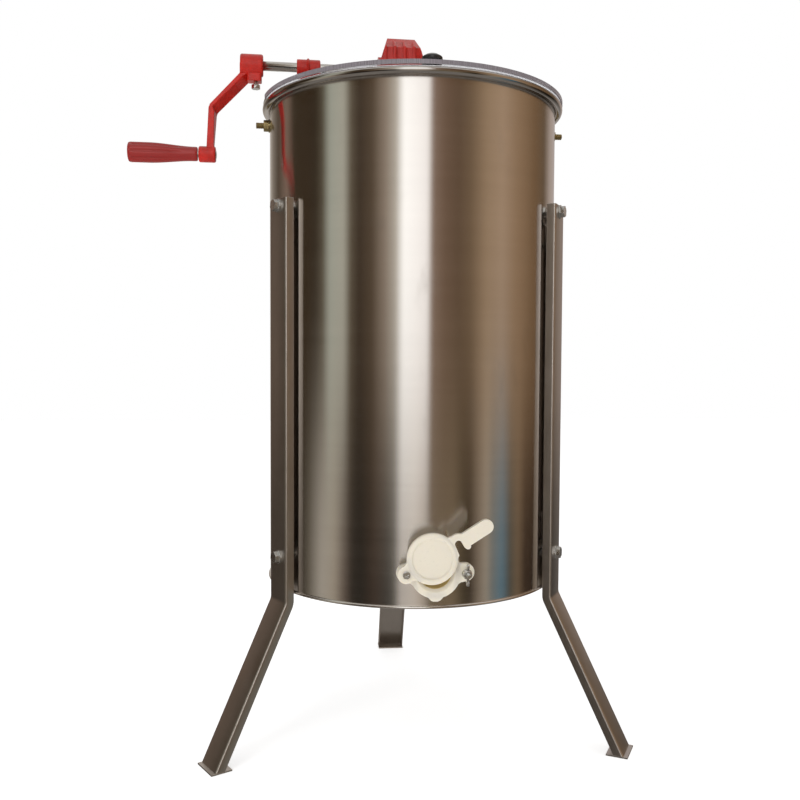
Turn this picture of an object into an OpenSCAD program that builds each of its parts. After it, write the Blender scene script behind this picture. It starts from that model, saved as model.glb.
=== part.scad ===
// Hand-cranked two-frame honey extractor: a steel drum on three legs, a wire basket on a
// vertical spindle, a bevel gear pair under a ribbed hood, a crank, two clear half lids and
// a plastic honey gate. Millimetres. Z is up, the gate faces -Y and the crank is at -X.
// The origin is on the drum's axis at the level of the floor.

/* [Drum] */
// Outside diameter of the drum
drum_d = 381; // [379:1:383]
// Height of the drum's bottom edge above the floor
drum_z = 200; // [196:1:204]
// Height of the top of the rolled rim above the floor
rim_z = 824.5; // [824:0.5:826]
// Thickness of the drum's sheet
sheet_t = 1; // [0.8:0.1:1.2]
// Diameter of the rolled rim
bead_d = 10; // [9:0.5:11]

/* [Legs] */
// Width of a leg across its face
leg_w = 41; // [38:1:44]
// Depth of a leg's channel
leg_depth = 11.5; // [10:0.5:12]
// Thickness of a leg's sheet
leg_t = 2; // [1.5:0.5:2.5]
// Slope of the lower part of a leg away from upright
leg_splay = 26.5; // [24:0.5:28]
// Turn of the three legs about the drum from a leg straight behind the gate
leg_turn = -1.5; // [-3:0.5:3]

/* [Crossbar and lids] */
// Width of the crossbar
bar_w = 72; // [71:1:73]
// Diameter across the two lids
lid_d = 400; // [398:1:402]
// Thickness of a lid
lid_t = 5; // [4:0.5:5]

/* [Drive] */
// Height of the crank shaft's axis above the floor
shaft_z = 878; // [876:1:880]
// Diameter of the crank shaft
shaft_d = 12; // [12:1:12]
// Module of the bevel gears
gear_module = 1.8; // [1.7:0.1:1.8]
// Teeth on the drive gear
drive_teeth = 24; // [24:1:24]
// Teeth on the pinion
pinion_teeth = 12; // [12:1:12]

/* [Crank] */
// Drop from the shaft's axis to the axis of the grip
crank_drop = 118; // [110:1:125]
// Length of the grip
grip_len = 89; // [80:1:95]

/* [Basket] */
// Distance from the spindle to the rods at the basket's ends
cage_x = 122; // [110:1:124]
// Distance from the spindle to the outer screens
cage_y = 118; // [112:1:120]
// Distance from the spindle to the inner screens
cage_inner_y = 68; // [64:1:72]
// Height of the basket's lower bars above the floor
cage_z0 = 258; // [256:1:262]
// Height of the basket's upper bars above the floor
cage_z1 = 778; // [740:1:780]

/* [Honey gate] */
// Height of the gate's centre above the floor
gate_z = 248; // [246:1:250]
// Distance from the gate's centre to its pivot and to its stud
ear_x = 34.5; // [34:0.5:35]
// Radius of the gate's outlet
outlet_r = 19; // [17:0.5:20]
// Angle that the flap stands open
flap_open = 30; // [20:1:45]

/* [Hidden] */
$fn = 64;

STEEL = [0.72, 0.70, 0.66];
ZINC = [0.78, 0.80, 0.80];
RED = [0.78, 0.13, 0.12];
IVORY = [0.93, 0.91, 0.83];
CLEAR = [0.85, 0.84, 0.90, 0.45];
DARK = [0.16, 0.16, 0.17];

R = drum_d / 2;
ri = R - sheet_t;
LEG_ANGLES = [210 + leg_turn, 330 + leg_turn, 90 + leg_turn];
gap = 0.3;
running = 0.05;

// Drum details
hem_r = 1.8;
seam_turn = 40;
floor_edge_z = drum_z + 3;
floor_rise = 18;
floor_t = 1;

// Legs
leg_r = 204.5;
leg_top = 687;
leg_bend_z = 190;
foot_t = 2;
foot_len = 27;
foot_w = 41;
leg_slope = tan(leg_splay);
foot_face_r = leg_r + (leg_bend_z - foot_t) * leg_slope;
upper_bolt_z = 679;
lower_bolt_z = 245;
wall_bolt_shift = 42;
// Each bracket's leg bolt height, and the way its foot runs from there
BRACKETS = [[upper_bolt_z, -1], [lower_bolt_z, 1]];
bolt_r = 4;
bolt_af = 13;

// Crossbar
bar_t = 2.5;
bar_top = rim_z + bar_t;
bar_y = bar_w / 2;
bar_flange = 18;
bar_tab_x = ri - 1;
bar_tab_y = 14;
bar_bolt_z = 800;

// Lids and hinges
lid_z = rim_z + 0.5;
lid_top = lid_z + lid_t;
hinge_y = 33.5;
hinge_z = lid_top + 2;
knuckle_r = 3;
hinge_pin_r = 1.5;
lid_edge_y = 37.2;
hinge_x = 96;
hinge_len = 30;
leaf_t = 1.2;
knob_y = 165;

// Shaft, bearing and gears
shaft_r = shaft_d / 2;
bearing_x0 = -155;
bearing_x1 = -124;
drive_r = gear_module * drive_teeth / 2;
pinion_r = gear_module * pinion_teeth / 2;
tooth_end = 0.62;
frame_x0 = -47;
frame_x1 = 24;
frame_y = 26;
frame_t = 5;
boss_x1 = -39;
boss_r = 18;
hood_top = 919;
hood_x0 = -46;
hood_x1 = 11;
hood_knee_z = 885;
hood_y = 30;
hood_top_y = 9;
hood_shoulder_z = 901;
hood_wall = 2.5;
collar_len = 9;
rib_w = 3.6;
rib_h = 1.8;

// Spindle and basket
spindle_r = 8;
spindle_neck_r = 5;
spindle_z0 = floor_edge_z + floor_rise + 14;
cup_r = 18;
ball_r = 5;
bar_flat_h = 12;
bar_flat_t = 3;
rod_r = 2.5;
screen_t = 1.4;

// Honey gate
pivot_r = 2.5;
gate_face_y = -215;
flap_t = 6;
flap_y = gate_face_y - gap;
flap_r = 29.6;
hook_r = 11.5;
slot_r = 4.4;

// Crank
hub_x0 = -229;
hub_x1 = -199;
hub_r = 14.3;
grip_z = shaft_z - crank_drop;
boss_out_x = -283;
boss_in_x = -261;
grip_x0 = boss_out_x - 1.5;
grip_pin_r = 4;
set_bolt_x = -208.8;

// ---- helpers ----

// Stands a shape that is drawn along +Z in the radial direction of an angle, so that +Z
// points outwards and +X stays upright.
module radial(angle, z) {
    rotate([0, 0, angle]) translate([0, 0, z]) rotate([0, 90, 0]) children();
}

// Lays a shape that is drawn along +Z along +X.
module along_x(x, z) {
    translate([x, 0, z]) rotate([0, 90, 0]) children();
}

// Turns a flat outline in X and Z into a plate that starts at y and grows towards -Y.
module plate_y(y, t) {
    translate([0, y, 0]) rotate([90, 0, 0]) linear_extrude(height = t) children();
}

// A hexagon bar, measured across its flats.
module hex(af, h) {
    cylinder(r = af / 2 / cos(30), h = h, $fn = 6);
}

// A tube along +Z.
module tube(r_out, r_in, h) {
    difference() {
        cylinder(r = r_out, h = h);
        translate([0, 0, -1]) cylinder(r = r_in, h = h + 2);
    }
}

// The body on both sides of the XZ plane.
module both_sides() {
    children();
    mirror([0, 1, 0]) children();
}

// ---- drum ----

function wall_bolt_z(bracket) = bracket[0] + bracket[1] * wall_bolt_shift;

module drum_shell() {
    color(STEEL) difference() {
        rotate([0, 0, seam_turn]) rotate_extrude() union() {
            translate([ri, drum_z + hem_r]) square([sheet_t, rim_z - 3 - drum_z - hem_r]);
            translate([R + bead_d / 2 - 0.5, rim_z - bead_d / 2]) circle(d = bead_d);
            translate([R + 0.6, drum_z + hem_r]) circle(r = hem_r);
        }
        for (a = LEG_ANGLES, b = BRACKETS)
            radial(a, wall_bolt_z(b)) translate([0, 0, R - 20]) cylinder(r = 3.2, h = 40);
        for (a = [0, 180])
            radial(a, bar_bolt_z) translate([0, 0, R - 20]) cylinder(r = bolt_r + gap, h = 40);
        radial(270, gate_z) translate([0, 0, R - 30]) cylinder(r = outlet_r + 4.5, h = 60);
    }
}

module drum_floor() {
    edge = ri - 0.5;
    color(STEEL) rotate_extrude() polygon([
        [0, floor_edge_z + floor_rise], [edge - 8, floor_edge_z], [edge, floor_edge_z],
        [edge, drum_z + hem_r], [edge - floor_t, drum_z + hem_r],
        [edge - floor_t, floor_edge_z - floor_t], [edge - 8, floor_edge_z - floor_t],
        [0, floor_edge_z + floor_rise - floor_t]
    ]);
}

// ---- legs ----

// Half of the outline of a leg seen from its side, at a given depth below the outer face.
function leg_line(depth) = [
    [leg_r - depth, leg_top],
    [leg_r - depth, leg_bend_z - depth * tan(leg_splay / 2)],
    [leg_r - depth / cos(leg_splay) + (leg_bend_z - foot_t) * leg_slope, foot_t]
];

function reversed(points) = [for (i = [len(points) - 1 : -1 : 0]) points[i]];

module leg_side(depth_0, depth_1) {
    polygon(concat(leg_line(depth_0), reversed(leg_line(depth_1))));
}

module leg_sheet(depth_0, depth_1, w) {
    translate([0, w / 2, 0]) rotate([90, 0, 0]) linear_extrude(height = w)
        leg_side(depth_0, depth_1);
}

module leg(angle) {
    color(STEEL) difference() {
        rotate([0, 0, angle]) difference() {
            leg_sheet(0, leg_depth, leg_w);
            leg_sheet(leg_t, leg_depth + 10, leg_w - 2 * leg_t);
        }
        for (z = [upper_bolt_z, lower_bolt_z])
            radial(angle, z) translate([0, 0, R]) cylinder(r = bolt_r, h = 30);
    }
}

module foot_plates() {
    color(STEEL) for (a = LEG_ANGLES)
        rotate([0, 0, a]) translate([foot_face_r + 5 - foot_len, -foot_w / 2, 0])
            cube([foot_len, foot_w, foot_t]);
}

// A bent strip that carries the leg: its raised end takes the leg's bolt and its other end
// is bolted to the drum.
module leg_brackets() {
    pad_r = leg_r - leg_t;
    pad_h = 11;
    foot_end = wall_bolt_shift + 10;
    line = [
        [pad_r, -6], [pad_r, pad_h + 1], [R + 2.2, pad_h + 8], [R + 2.2, foot_end],
        [R + 0.2, foot_end], [R + 0.2, pad_h + 7], [pad_r - 2, pad_h], [pad_r - 2, -6]
    ];
    color(STEEL) for (a = LEG_ANGLES, b = BRACKETS) difference() {
        rotate([0, 0, a]) translate([0, 11, b[0]]) rotate([90, 0, 0])
            linear_extrude(height = 22) polygon([for (p = line) [p[0], b[1] * p[1]]]);
        radial(a, b[0]) translate([0, 0, R - 5]) cylinder(r = bolt_r, h = 30);
        radial(a, wall_bolt_z(b)) translate([0, 0, R - 5]) cylinder(r = 3, h = 30);
    }
}

module leg_bolts() {
    color(ZINC) for (a = LEG_ANGLES, z = [upper_bolt_z, lower_bolt_z]) radial(a, z) {
        translate([0, 0, R + 3]) cylinder(r = bolt_r, h = leg_r - R - 3);
        translate([0, 0, leg_r]) cylinder(r = 8.5, h = 1.6);
        translate([0, 0, leg_r + 1.6]) hex(bolt_af, 5.3);
    }
}

module leg_nuts() {
    nut_r = leg_r - leg_t - 2;
    color(ZINC) for (a = LEG_ANGLES, z = [upper_bolt_z, lower_bolt_z])
        radial(a, z) translate([0, 0, nut_r - 6]) difference() {
            hex(bolt_af, 6);
            translate([0, 0, -1]) cylinder(r = bolt_r, h = 8);
        }
}

module bracket_bolts() {
    color(ZINC) for (a = LEG_ANGLES, b = BRACKETS)
        radial(a, wall_bolt_z(b)) {
            translate([0, 0, ri - 2.8]) cylinder(r = 5.5, h = 2.6);
            translate([0, 0, ri - 0.2]) cylinder(r = 3, h = R + 10.8 - ri);
            translate([0, 0, R + 2.2]) difference() {
                hex(10, 4.6);
                translate([0, 0, -1]) cylinder(r = 3, h = 8);
            }
        }
}

// ---- crossbar ----

module crossbar() {
    color(STEEL) difference() {
        union() {
            intersection() {
                translate([-R - 10, -bar_y, rim_z]) cube([2 * R + 20, bar_w, bar_t]);
                translate([0, 0, rim_z - 1]) cylinder(r = R + 8.5, h = bar_t + 2);
            }
            both_sides() translate([-182, bar_y - bar_t, rim_z - bar_flange])
                cube([364, bar_t, bar_flange]);
            for (x = [-bar_tab_x, bar_tab_x - bar_t])
                translate([x, -bar_tab_y, bar_bolt_z - 11])
                    cube([bar_t, 2 * bar_tab_y, rim_z - bar_bolt_z + 11]);
        }
        translate([0, 0, rim_z - 5]) cylinder(r = 11, h = 20);
        along_x(-R - 20, bar_bolt_z) cylinder(r = bolt_r, h = 2 * R + 40);
    }
}

module crossbar_bolts() {
    head = 5;
    color([0.80, 0.70, 0.35]) for (a = [0, 180]) radial(a, bar_bolt_z) {
        translate([0, 0, bar_tab_x - bar_t - head]) hex(bolt_af, head);
        translate([0, 0, bar_tab_x - bar_t]) cylinder(r = bolt_r, h = 22.5);
    }
}

module crossbar_nuts() {
    color([0.80, 0.70, 0.35]) for (a = [0, 180]) radial(a, bar_bolt_z) {
        translate([0, 0, R + 0.1]) tube(8.5, bolt_r, 1.6);
        translate([0, 0, R + 1.7]) difference() {
            hex(bolt_af, 6.5);
            translate([0, 0, -1]) cylinder(r = bolt_r, h = 9);
        }
    }
}

// ---- drive ----

BEARING_SCREWS = [[(bearing_x0 + bearing_x1) / 2, 18], [(bearing_x0 + bearing_x1) / 2, -18]];
FRAME_SCREWS = [[-33, 20], [-33, -20], [17, 20], [17, -20]];
HOOD_SCREWS = [[-34, 33], [-34, -33], [3.6, 33], [3.6, -33]];

// Pan head screws that stand on a surface at height z and reach down through it.
module pan_screws(places, z, r, reach) {
    color(ZINC) for (p = places) translate([p[0], p[1], 0]) {
        translate([0, 0, z - reach]) cylinder(r = r, h = reach);
        translate([0, 0, z]) cylinder(r = r * 1.8, h = r * 1.1);
    }
}

module screw_holes(places, z0, z1, r) {
    for (p = places) translate([p[0], p[1], z0]) cylinder(r = r, h = z1 - z0);
}

module shaft_bearing() {
    len_x = bearing_x1 - bearing_x0;
    color(RED) difference() {
        union() {
            along_x(bearing_x0, shaft_z) cylinder(r = 10.6, h = len_x);
            along_x(bearing_x0 + 11.8, shaft_z) cylinder(r = 12.3, h = 7);
            translate([bearing_x0 + 5, -9, bar_top]) cube([len_x - 10, 18, shaft_z - bar_top]);
            translate([bearing_x0, -25, bar_top]) cube([len_x, 50, 5]);
        }
        along_x(bearing_x0 - 5, shaft_z) cylinder(r = shaft_r + running, h = len_x + 10);
        screw_holes(BEARING_SCREWS, bar_top - 1, bar_top + 6, 3);
    }
}

module bearing_screws() {
    pan_screws(BEARING_SCREWS, bar_top + 5, 3, 5);
}

// Cast base of the gears, with the inner bearing of the crank shaft.
module gear_frame() {
    color(RED) difference() {
        union() {
            translate([frame_x0, -frame_y, bar_top])
                cube([frame_x1 - frame_x0, 2 * frame_y, frame_t]);
            along_x(frame_x0, shaft_z) cylinder(r = boss_r, h = boss_x1 - frame_x0);
            translate([frame_x0, -boss_r, bar_top])
                cube([boss_x1 - frame_x0, 2 * boss_r, shaft_z - bar_top]);
        }
        along_x(frame_x0 - 5, shaft_z) cylinder(r = shaft_r + running, h = 30);
        translate([0, 0, bar_top - 1]) cylinder(r = 11, h = frame_t + 2);
        screw_holes(FRAME_SCREWS, bar_top - 1, bar_top + frame_t + 1, 3);
    }
}

module gear_frame_screws() {
    pan_screws(FRAME_SCREWS, bar_top + frame_t, 3, frame_t);
}

// Outline of the hood seen from its end, shrunk or grown by an amount.
module hood_end_outline(grow) {
    y = hood_y + grow;
    polygon([
        [-y, bar_top - 1], [y, bar_top - 1], [y, hood_shoulder_z + grow / 2],
        [hood_top_y + grow / 2, hood_top + grow], [-hood_top_y - grow / 2, hood_top + grow],
        [-y, hood_shoulder_z + grow / 2]
    ]);
}

module hood_end_block(grow) {
    translate([-90, 0, 0]) rotate([90, 0, 90]) linear_extrude(height = 150)
        hood_end_outline(grow);
}

// Outline of the hood seen from the front.
module hood_front_block(y) {
    translate([0, y, 0]) rotate([90, 0, 0]) linear_extrude(height = 2 * y) polygon([
        [hood_x0, bar_top], [hood_x1, bar_top], [hood_x1, hood_knee_z], [1.5, hood_top],
        [-35.5, hood_top], [hood_x0, hood_knee_z]
    ]);
}

module gear_hood() {
    RIBS = [-42, -29.3, -16.5, -3.7, 7.4];
    tab_y = bar_y - 0.5;
    color(RED) difference() {
        union() {
            intersection() {
                hood_end_block(0);
                hood_front_block(60);
            }
            intersection() {
                difference() {
                    hood_end_block(rib_h);
                    translate([-100, -60, hood_top - 7]) cube([200, 120, 30]);
                }
                hood_front_block(60);
                for (x = RIBS) translate([x, -60, bar_top + 3.4]) cube([rib_w, 120, 110]);
            }
            both_sides() for (x = [-40, -1])
                translate([x, hood_y - 2, bar_top]) cube([12, tab_y - hood_y + 2, 3]);
        }
        hood_end_block(-hood_wall);
        screw_holes(HOOD_SCREWS, bar_top - 1, bar_top + 4, 1.6);
    }
}

module hood_screws() {
    pan_screws(HOOD_SCREWS, bar_top + 3, 1.6, 3);
}

// Outline of a bevel gear's large end: straight-sided teeth on a root circle.
module gear_outline(teeth, pitch_r, tip, root, half_pitch, half_tip, half_root) {
    union() {
        circle(r = pitch_r - root + 0.3);
        for (i = [0 : teeth - 1]) rotate([0, 0, i * 360 / teeth]) polygon([
            [pitch_r - root - 1, -half_root], [pitch_r - root, -half_root],
            [pitch_r, -half_pitch], [pitch_r + tip, -half_tip],
            [pitch_r + tip, half_tip], [pitch_r, half_pitch],
            [pitch_r - root, half_root], [pitch_r - root - 1, half_root]
        ]);
    }
}

module drive_gear() {
    color(STEEL) translate([0, 0, shaft_z]) rotate([0, 90, 0]) difference() {
        union() {
            translate([0, 0, -pinion_r])
                linear_extrude(height = pinion_r * (1 - tooth_end), scale = tooth_end)
                    gear_outline(drive_teeth, drive_r, 2.6, 3.4, 1.25, 0.55, 1.9);
            translate([0, 0, -pinion_r - 5]) cylinder(r = drive_r - 3.6, h = 5);
            translate([0, 0, -32]) cylinder(r = 11, h = 32 - pinion_r - 5);
        }
        translate([0, 0, -40]) cylinder(r = shaft_r, h = 60);
    }
}

module pinion() {
    face = drive_r * (1 - tooth_end);
    color(STEEL) translate([0, 0, shaft_z - drive_r]) difference() {
        union() {
            rotate([0, 0, 180 / pinion_teeth])
                linear_extrude(height = face, scale = tooth_end)
                    gear_outline(pinion_teeth, pinion_r, 1.5, 2.2, 1.25, 0.6, 1.9);
            translate([0, 0, -9]) cylinder(r = 8.8, h = 9);
        }
        translate([0, 0, -10]) cylinder(r = spindle_neck_r, h = 30);
    }
}

module crank_shaft() {
    color(STEEL) along_x(hub_x0 + 1, shaft_z) cylinder(r = shaft_r, h = -hub_x0 - 9.5);
}

module shaft_collar() {
    color(ZINC) along_x(frame_x0 - 1 - collar_len, shaft_z) difference() {
        tube(11, shaft_r, collar_len);
        translate([-20, 0, collar_len / 2]) rotate([0, 90, 0]) cylinder(r = 2.5, h = 20);
    }
}

// ---- crank ----

// Seen from the front, the arm leaves the hub at a slant, turns down and ends in a boss.
module crank_arm() {
    arm_y = 7;
    color(RED) difference() {
        union() {
            along_x(hub_x0, shaft_z) cylinder(r = hub_r, h = hub_x1 - hub_x0);
            translate([-220, -8, shaft_z - 21]) cube([19, 16, 14]);
            plate_y(arm_y, 2 * arm_y) polygon([
                [-229.5, shaft_z + 2], [-229.5, shaft_z - 12], [-268, shaft_z - 53.5],
                [-272.5, grip_z + 6], [-272.5, grip_z], [-263.5, grip_z],
                [-263.5, grip_z + 12], [-259.2, shaft_z - 63.5], [-219, shaft_z - 22],
                [-212, shaft_z - 8]
            ]);
            along_x(boss_out_x, grip_z) cylinder(r = 10.4, h = boss_in_x - boss_out_x);
        }
        along_x(hub_x0 + 1, shaft_z) cylinder(r = shaft_r, h = 60);
        translate([set_bolt_x, 0, shaft_z - 30]) cylinder(r = 3, h = 30);
        along_x(boss_out_x - 5, grip_z) cylinder(r = grip_pin_r, h = 60);
    }
}

module crank_set_bolt() {
    color(ZINC) translate([set_bolt_x, 0, 0]) {
        translate([0, 0, shaft_z - 25]) cylinder(r = 3, h = 25 - shaft_r);
        translate([0, 0, shaft_z - 30.5]) hex(10, 5.5);
    }
}

// The pin is peened over at the boss; its head sits in the grip's outer end.
module grip_pin() {
    head_x = grip_x0 - grip_len + 1;
    color(ZINC) {
        along_x(head_x, grip_z) cylinder(r = 6.5, h = 2.3);
        along_x(head_x + 1, grip_z) cylinder(r = grip_pin_r, h = boss_in_x - head_x - 1);
        along_x(boss_in_x, grip_z) cylinder(r = 5.5, h = 1);
    }
}

module crank_grip() {
    x1 = grip_x0;
    x0 = grip_x0 - grip_len + 0.5;
    len_x = x1 - x0;
    color([0.60, 0.10, 0.10]) along_x(x0, grip_z) rotate_extrude() polygon([
        [grip_pin_r + running, 3.8], [7, 3.8], [7, 0], [11.5, 0], [13, 2], [13, 20], [12.4, 40], [10.6, 66],
        [9.2, len_x - 3], [9.2, len_x], [grip_pin_r + running, len_x]
    ]);
}

// ---- basket ----

module spindle() {
    neck_z = shaft_z - drive_r - 9;
    color(STEEL) {
        translate([0, 0, spindle_z0]) cylinder(r = spindle_r, h = neck_z - spindle_z0);
        translate([0, 0, neck_z - 0.5]) cylinder(r = spindle_neck_r, h = 17);
    }
}

module top_bush() {
    color(IVORY) difference() {
        union() {
            translate([0, 0, rim_z - 4]) cylinder(r = 16, h = 4);
            translate([0, 0, rim_z - 4]) cylinder(r = 11, h = bar_t + frame_t + 4);
        }
        translate([0, 0, rim_z - 10]) cylinder(r = spindle_r + running, h = 30);
    }
}

module bottom_cup() {
    floor_z = floor_edge_z + floor_rise;
    color(IVORY) translate([0, 0, floor_z]) difference() {
        cylinder(r = cup_r, h = 24);
        translate([0, 0, 4]) cylinder(r = spindle_r + running, h = 30);
    }
}

module thrust_ball() {
    color(ZINC) translate([0, 0, floor_edge_z + floor_rise + 4 + ball_r]) sphere(r = ball_r);
}

// A hub on the spindle with four flat arms that reach the basket's bars.
module spider(z) {
    reach_x = cage_x - bar_flat_t / 2;
    reach_y = cage_inner_y - bar_flat_t / 2 - screen_t;
    color(STEEL) difference() {
        union() {
            translate([0, 0, z - 4]) cylinder(r = 15, h = bar_flat_h + 8);
            translate([-reach_x, -bar_flat_t / 2, z]) cube([2 * reach_x, bar_flat_t, bar_flat_h]);
            translate([-bar_flat_t / 2, -reach_y, z]) cube([bar_flat_t, 2 * reach_y, bar_flat_h]);
        }
        translate([0, 0, z - 10]) cylinder(r = spindle_r, h = 40);
    }
}

module top_spider() {
    spider(cage_z1);
}

module bottom_spider() {
    spider(cage_z0);
}

module cage_long_bars() {
    x = cage_x - bar_flat_t / 2;
    color(STEEL) both_sides() for (z = [cage_z0, cage_z1], y = [cage_y, cage_inner_y])
        translate([-x, y - bar_flat_t / 2, z]) cube([2 * x, bar_flat_t, bar_flat_h]);
}

module cage_end_bars() {
    y = cage_y + bar_flat_t / 2;
    color(STEEL) for (z = [cage_z0, cage_z1], x = [-cage_x, cage_x])
        translate([x - bar_flat_t / 2, -y, z]) cube([bar_flat_t, 2 * y, bar_flat_h]);
}

module cage_rods() {
    color(STEEL) both_sides() for (x = [-1, 1], y = [cage_y, cage_inner_y])
        translate([x * (cage_x - bar_flat_t / 2 - rod_r), y, cage_z0 + bar_flat_h])
            cylinder(r = rod_r, h = cage_z1 - cage_z0 - bar_flat_h);
}

// A screen of upright and level bars on one side of a pair of cage bars.
module screen(y) {
    half = cage_x - 8;
    z0 = cage_z0 + 2;
    z1 = cage_z1 + bar_flat_h - 2;
    columns = 6;
    rows = 10;
    step_x = 2 * half / columns;
    step_z = (z1 - z0) / rows;
    difference() {
        translate([-half, y, z0]) cube([2 * half, screen_t, z1 - z0]);
        for (i = [0 : columns - 1], k = [0 : rows - 1])
            translate([-half + i * step_x + 1.5, y - 1, z0 + k * step_z + 1.5])
                cube([step_x - 3, screen_t + 2, step_z - 3]);
    }
}

module outer_screens() {
    color(STEEL) both_sides() screen(cage_y - bar_flat_t / 2 - screen_t);
}

module inner_screens() {
    color(STEEL) both_sides() screen(cage_inner_y - bar_flat_t / 2 - screen_t);
}

module frame_rests() {
    y0 = cage_inner_y + bar_flat_t / 2;
    y1 = cage_y - bar_flat_t / 2 - screen_t;
    color(STEEL) both_sides() for (x = [-84, -28, 28, 84])
        translate([x, y1, cage_z0 + 4]) rotate([90, 0, 0]) cylinder(r = 2, h = y1 - y0);
}

// ---- lids ----

HINGES = [-hinge_x, hinge_x];

module half_lid() {
    color(CLEAR) difference() {
        intersection() {
            translate([0, 0, lid_z]) cylinder(d = lid_d, h = lid_t);
            translate([-lid_d, -lid_d, lid_z]) cube([2 * lid_d, lid_d - lid_edge_y, lid_t]);
        }
        for (x = HINGES, dx = [-8, 8])
            translate([x + dx, -lid_edge_y - 12, lid_z - 1]) cylinder(r = 2, h = lid_t + 2);
        translate([0, -knob_y, lid_z - 1]) cylinder(r = 2.5, h = lid_t + 2);
    }
}

// The moving leaves of a lid's two hinges, with their middle knuckles and screws.
module lid_leaves() {
    mid = hinge_len / 3 - 0.4;
    color(STEEL) for (x = HINGES) {
        difference() {
            union() {
                translate([x - mid / 2, -hinge_y, hinge_z]) rotate([0, 90, 0])
                    cylinder(r = knuckle_r, h = mid);
                translate([x - mid / 2, -lid_edge_y, lid_top])
                    cube([mid, lid_edge_y - hinge_y, leaf_t]);
                translate([x - hinge_len / 2, -lid_edge_y - 18, lid_top])
                    cube([hinge_len, 18, leaf_t]);
            }
            translate([x - 20, -hinge_y, hinge_z]) rotate([0, 90, 0])
                cylinder(r = hinge_pin_r + running, h = 40);
        }
        for (dx = [-8, 8]) translate([x + dx, -lid_edge_y - 12, lid_top + leaf_t])
            cylinder(r = 3.4, h = 1.6);
    }
}

module lid_knob() {
    color(DARK) translate([0, -knob_y, 0]) {
        translate([0, 0, lid_top]) rotate_extrude() polygon([
            [0, 0], [8, 0], [8, 6.5], [12.4, 9.5], [12.4, 13.5], [10.8, 15.6], [7.5, 17.2],
            [0, 18]
        ]);
        translate([0, 0, lid_z]) cylinder(r = 2.5, h = lid_t);
        translate([0, 0, lid_z - 2.4]) cylinder(r = 5, h = 2.4);
    }
}

module hinge_fixed_leaves() {
    side = hinge_len / 3;
    color(STEEL) both_sides() for (x = HINGES) difference() {
        union() {
            for (dx = [-hinge_len / 2, hinge_len / 2 - side]) {
                translate([x + dx, -hinge_y, hinge_z]) rotate([0, 90, 0])
                    cylinder(r = knuckle_r, h = side);
                translate([x + dx, -hinge_y + 1.7, bar_top]) cube([side, leaf_t, hinge_z - bar_top]);
            }
            translate([x - hinge_len / 2, -hinge_y + 3.4, bar_top]) cube([hinge_len, 12, leaf_t]);
            for (dx = [-hinge_len / 2, hinge_len / 2 - side])
                translate([x + dx, -hinge_y + 1.7, bar_top]) cube([side, 3, leaf_t]);
        }
        translate([x - 20, -hinge_y, hinge_z]) rotate([0, 90, 0]) cylinder(r = hinge_pin_r, h = 40);
        screw_holes([[x - 8, -hinge_y + 10], [x + 8, -hinge_y + 10]], bar_top - 1, bar_top + 3, 2);
    }
}

module hinge_pins() {
    color(ZINC) both_sides() for (x = HINGES)
        translate([x - hinge_len / 2, -hinge_y, hinge_z]) rotate([0, 90, 0])
            cylinder(r = hinge_pin_r, h = hinge_len);
}

module hinge_screws() {
    both_sides() pan_screws(
        [for (x = HINGES, dx = [-8, 8]) [x + dx, -hinge_y + 10]], bar_top + leaf_t, 2, leaf_t);
}

// ---- honey gate ----

// Outline of the gate's face: a disc with an ear on each side and a small drip lip.
module gate_face_outline() {
    difference() {
        union() {
            circle(r = 29.5);
            for (x = [-ear_x, ear_x]) translate([x, 0]) circle(r = 10.4);
            polygon([[-22, 14], [-ear_x, 9], [-ear_x, -9], [-20, -18], [20, -18], [ear_x, -9],
                [ear_x, 9], [22, 14]]);
            polygon([[-9, -27], [-4, -32.5], [4, -32.5], [9, -27]]);
        }
        circle(r = outlet_r);
        for (x = [-ear_x, ear_x]) translate([x, 0]) circle(r = pivot_r);
    }
}

module gate_body() {
    color(IVORY) {
        translate([0, 0, gate_z]) plate_y(gate_face_y + 8, 8) gate_face_outline();
        radial(270, gate_z) {
            translate([0, 0, 174]) tube(outlet_r + 4, outlet_r, 20);
            translate([0, 0, 193]) tube(29.5, outlet_r, 4);
            translate([0, 0, 197]) tube(25.5, outlet_r, -gate_face_y - 8 - 197);
        }
    }
}

module gate_gasket() {
    color(DARK) radial(270, gate_z) translate([0, 0, R + 0.1])
        tube(29, outlet_r + 4.1, 193 - R - 0.1);
}

module gate_lock_nut() {
    color(IVORY) radial(270, gate_z) translate([0, 0, 177]) difference() {
        hex(58, 9);
        translate([0, 0, -1]) cylinder(r = outlet_r + 4, h = 12);
    }
}

module gate_pivot_screw() {
    color(ZINC) translate([-ear_x, 0, 0]) radial(270, gate_z) {
        translate([0, 0, -gate_face_y - 8]) cylinder(r = pivot_r, h = 8 + gap + flap_t + 0.4);
        translate([0, 0, -flap_y + flap_t + 0.4]) cylinder(r = 4.4, h = 2.2);
    }
}

module gate_stud() {
    color(ZINC) translate([ear_x, 0, 0]) radial(270, gate_z) {
        translate([0, 0, -gate_face_y - 8]) cylinder(r = pivot_r, h = 30);
        translate([0, 0, -gate_face_y - 11]) hex(8, 3);
    }
}

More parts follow.
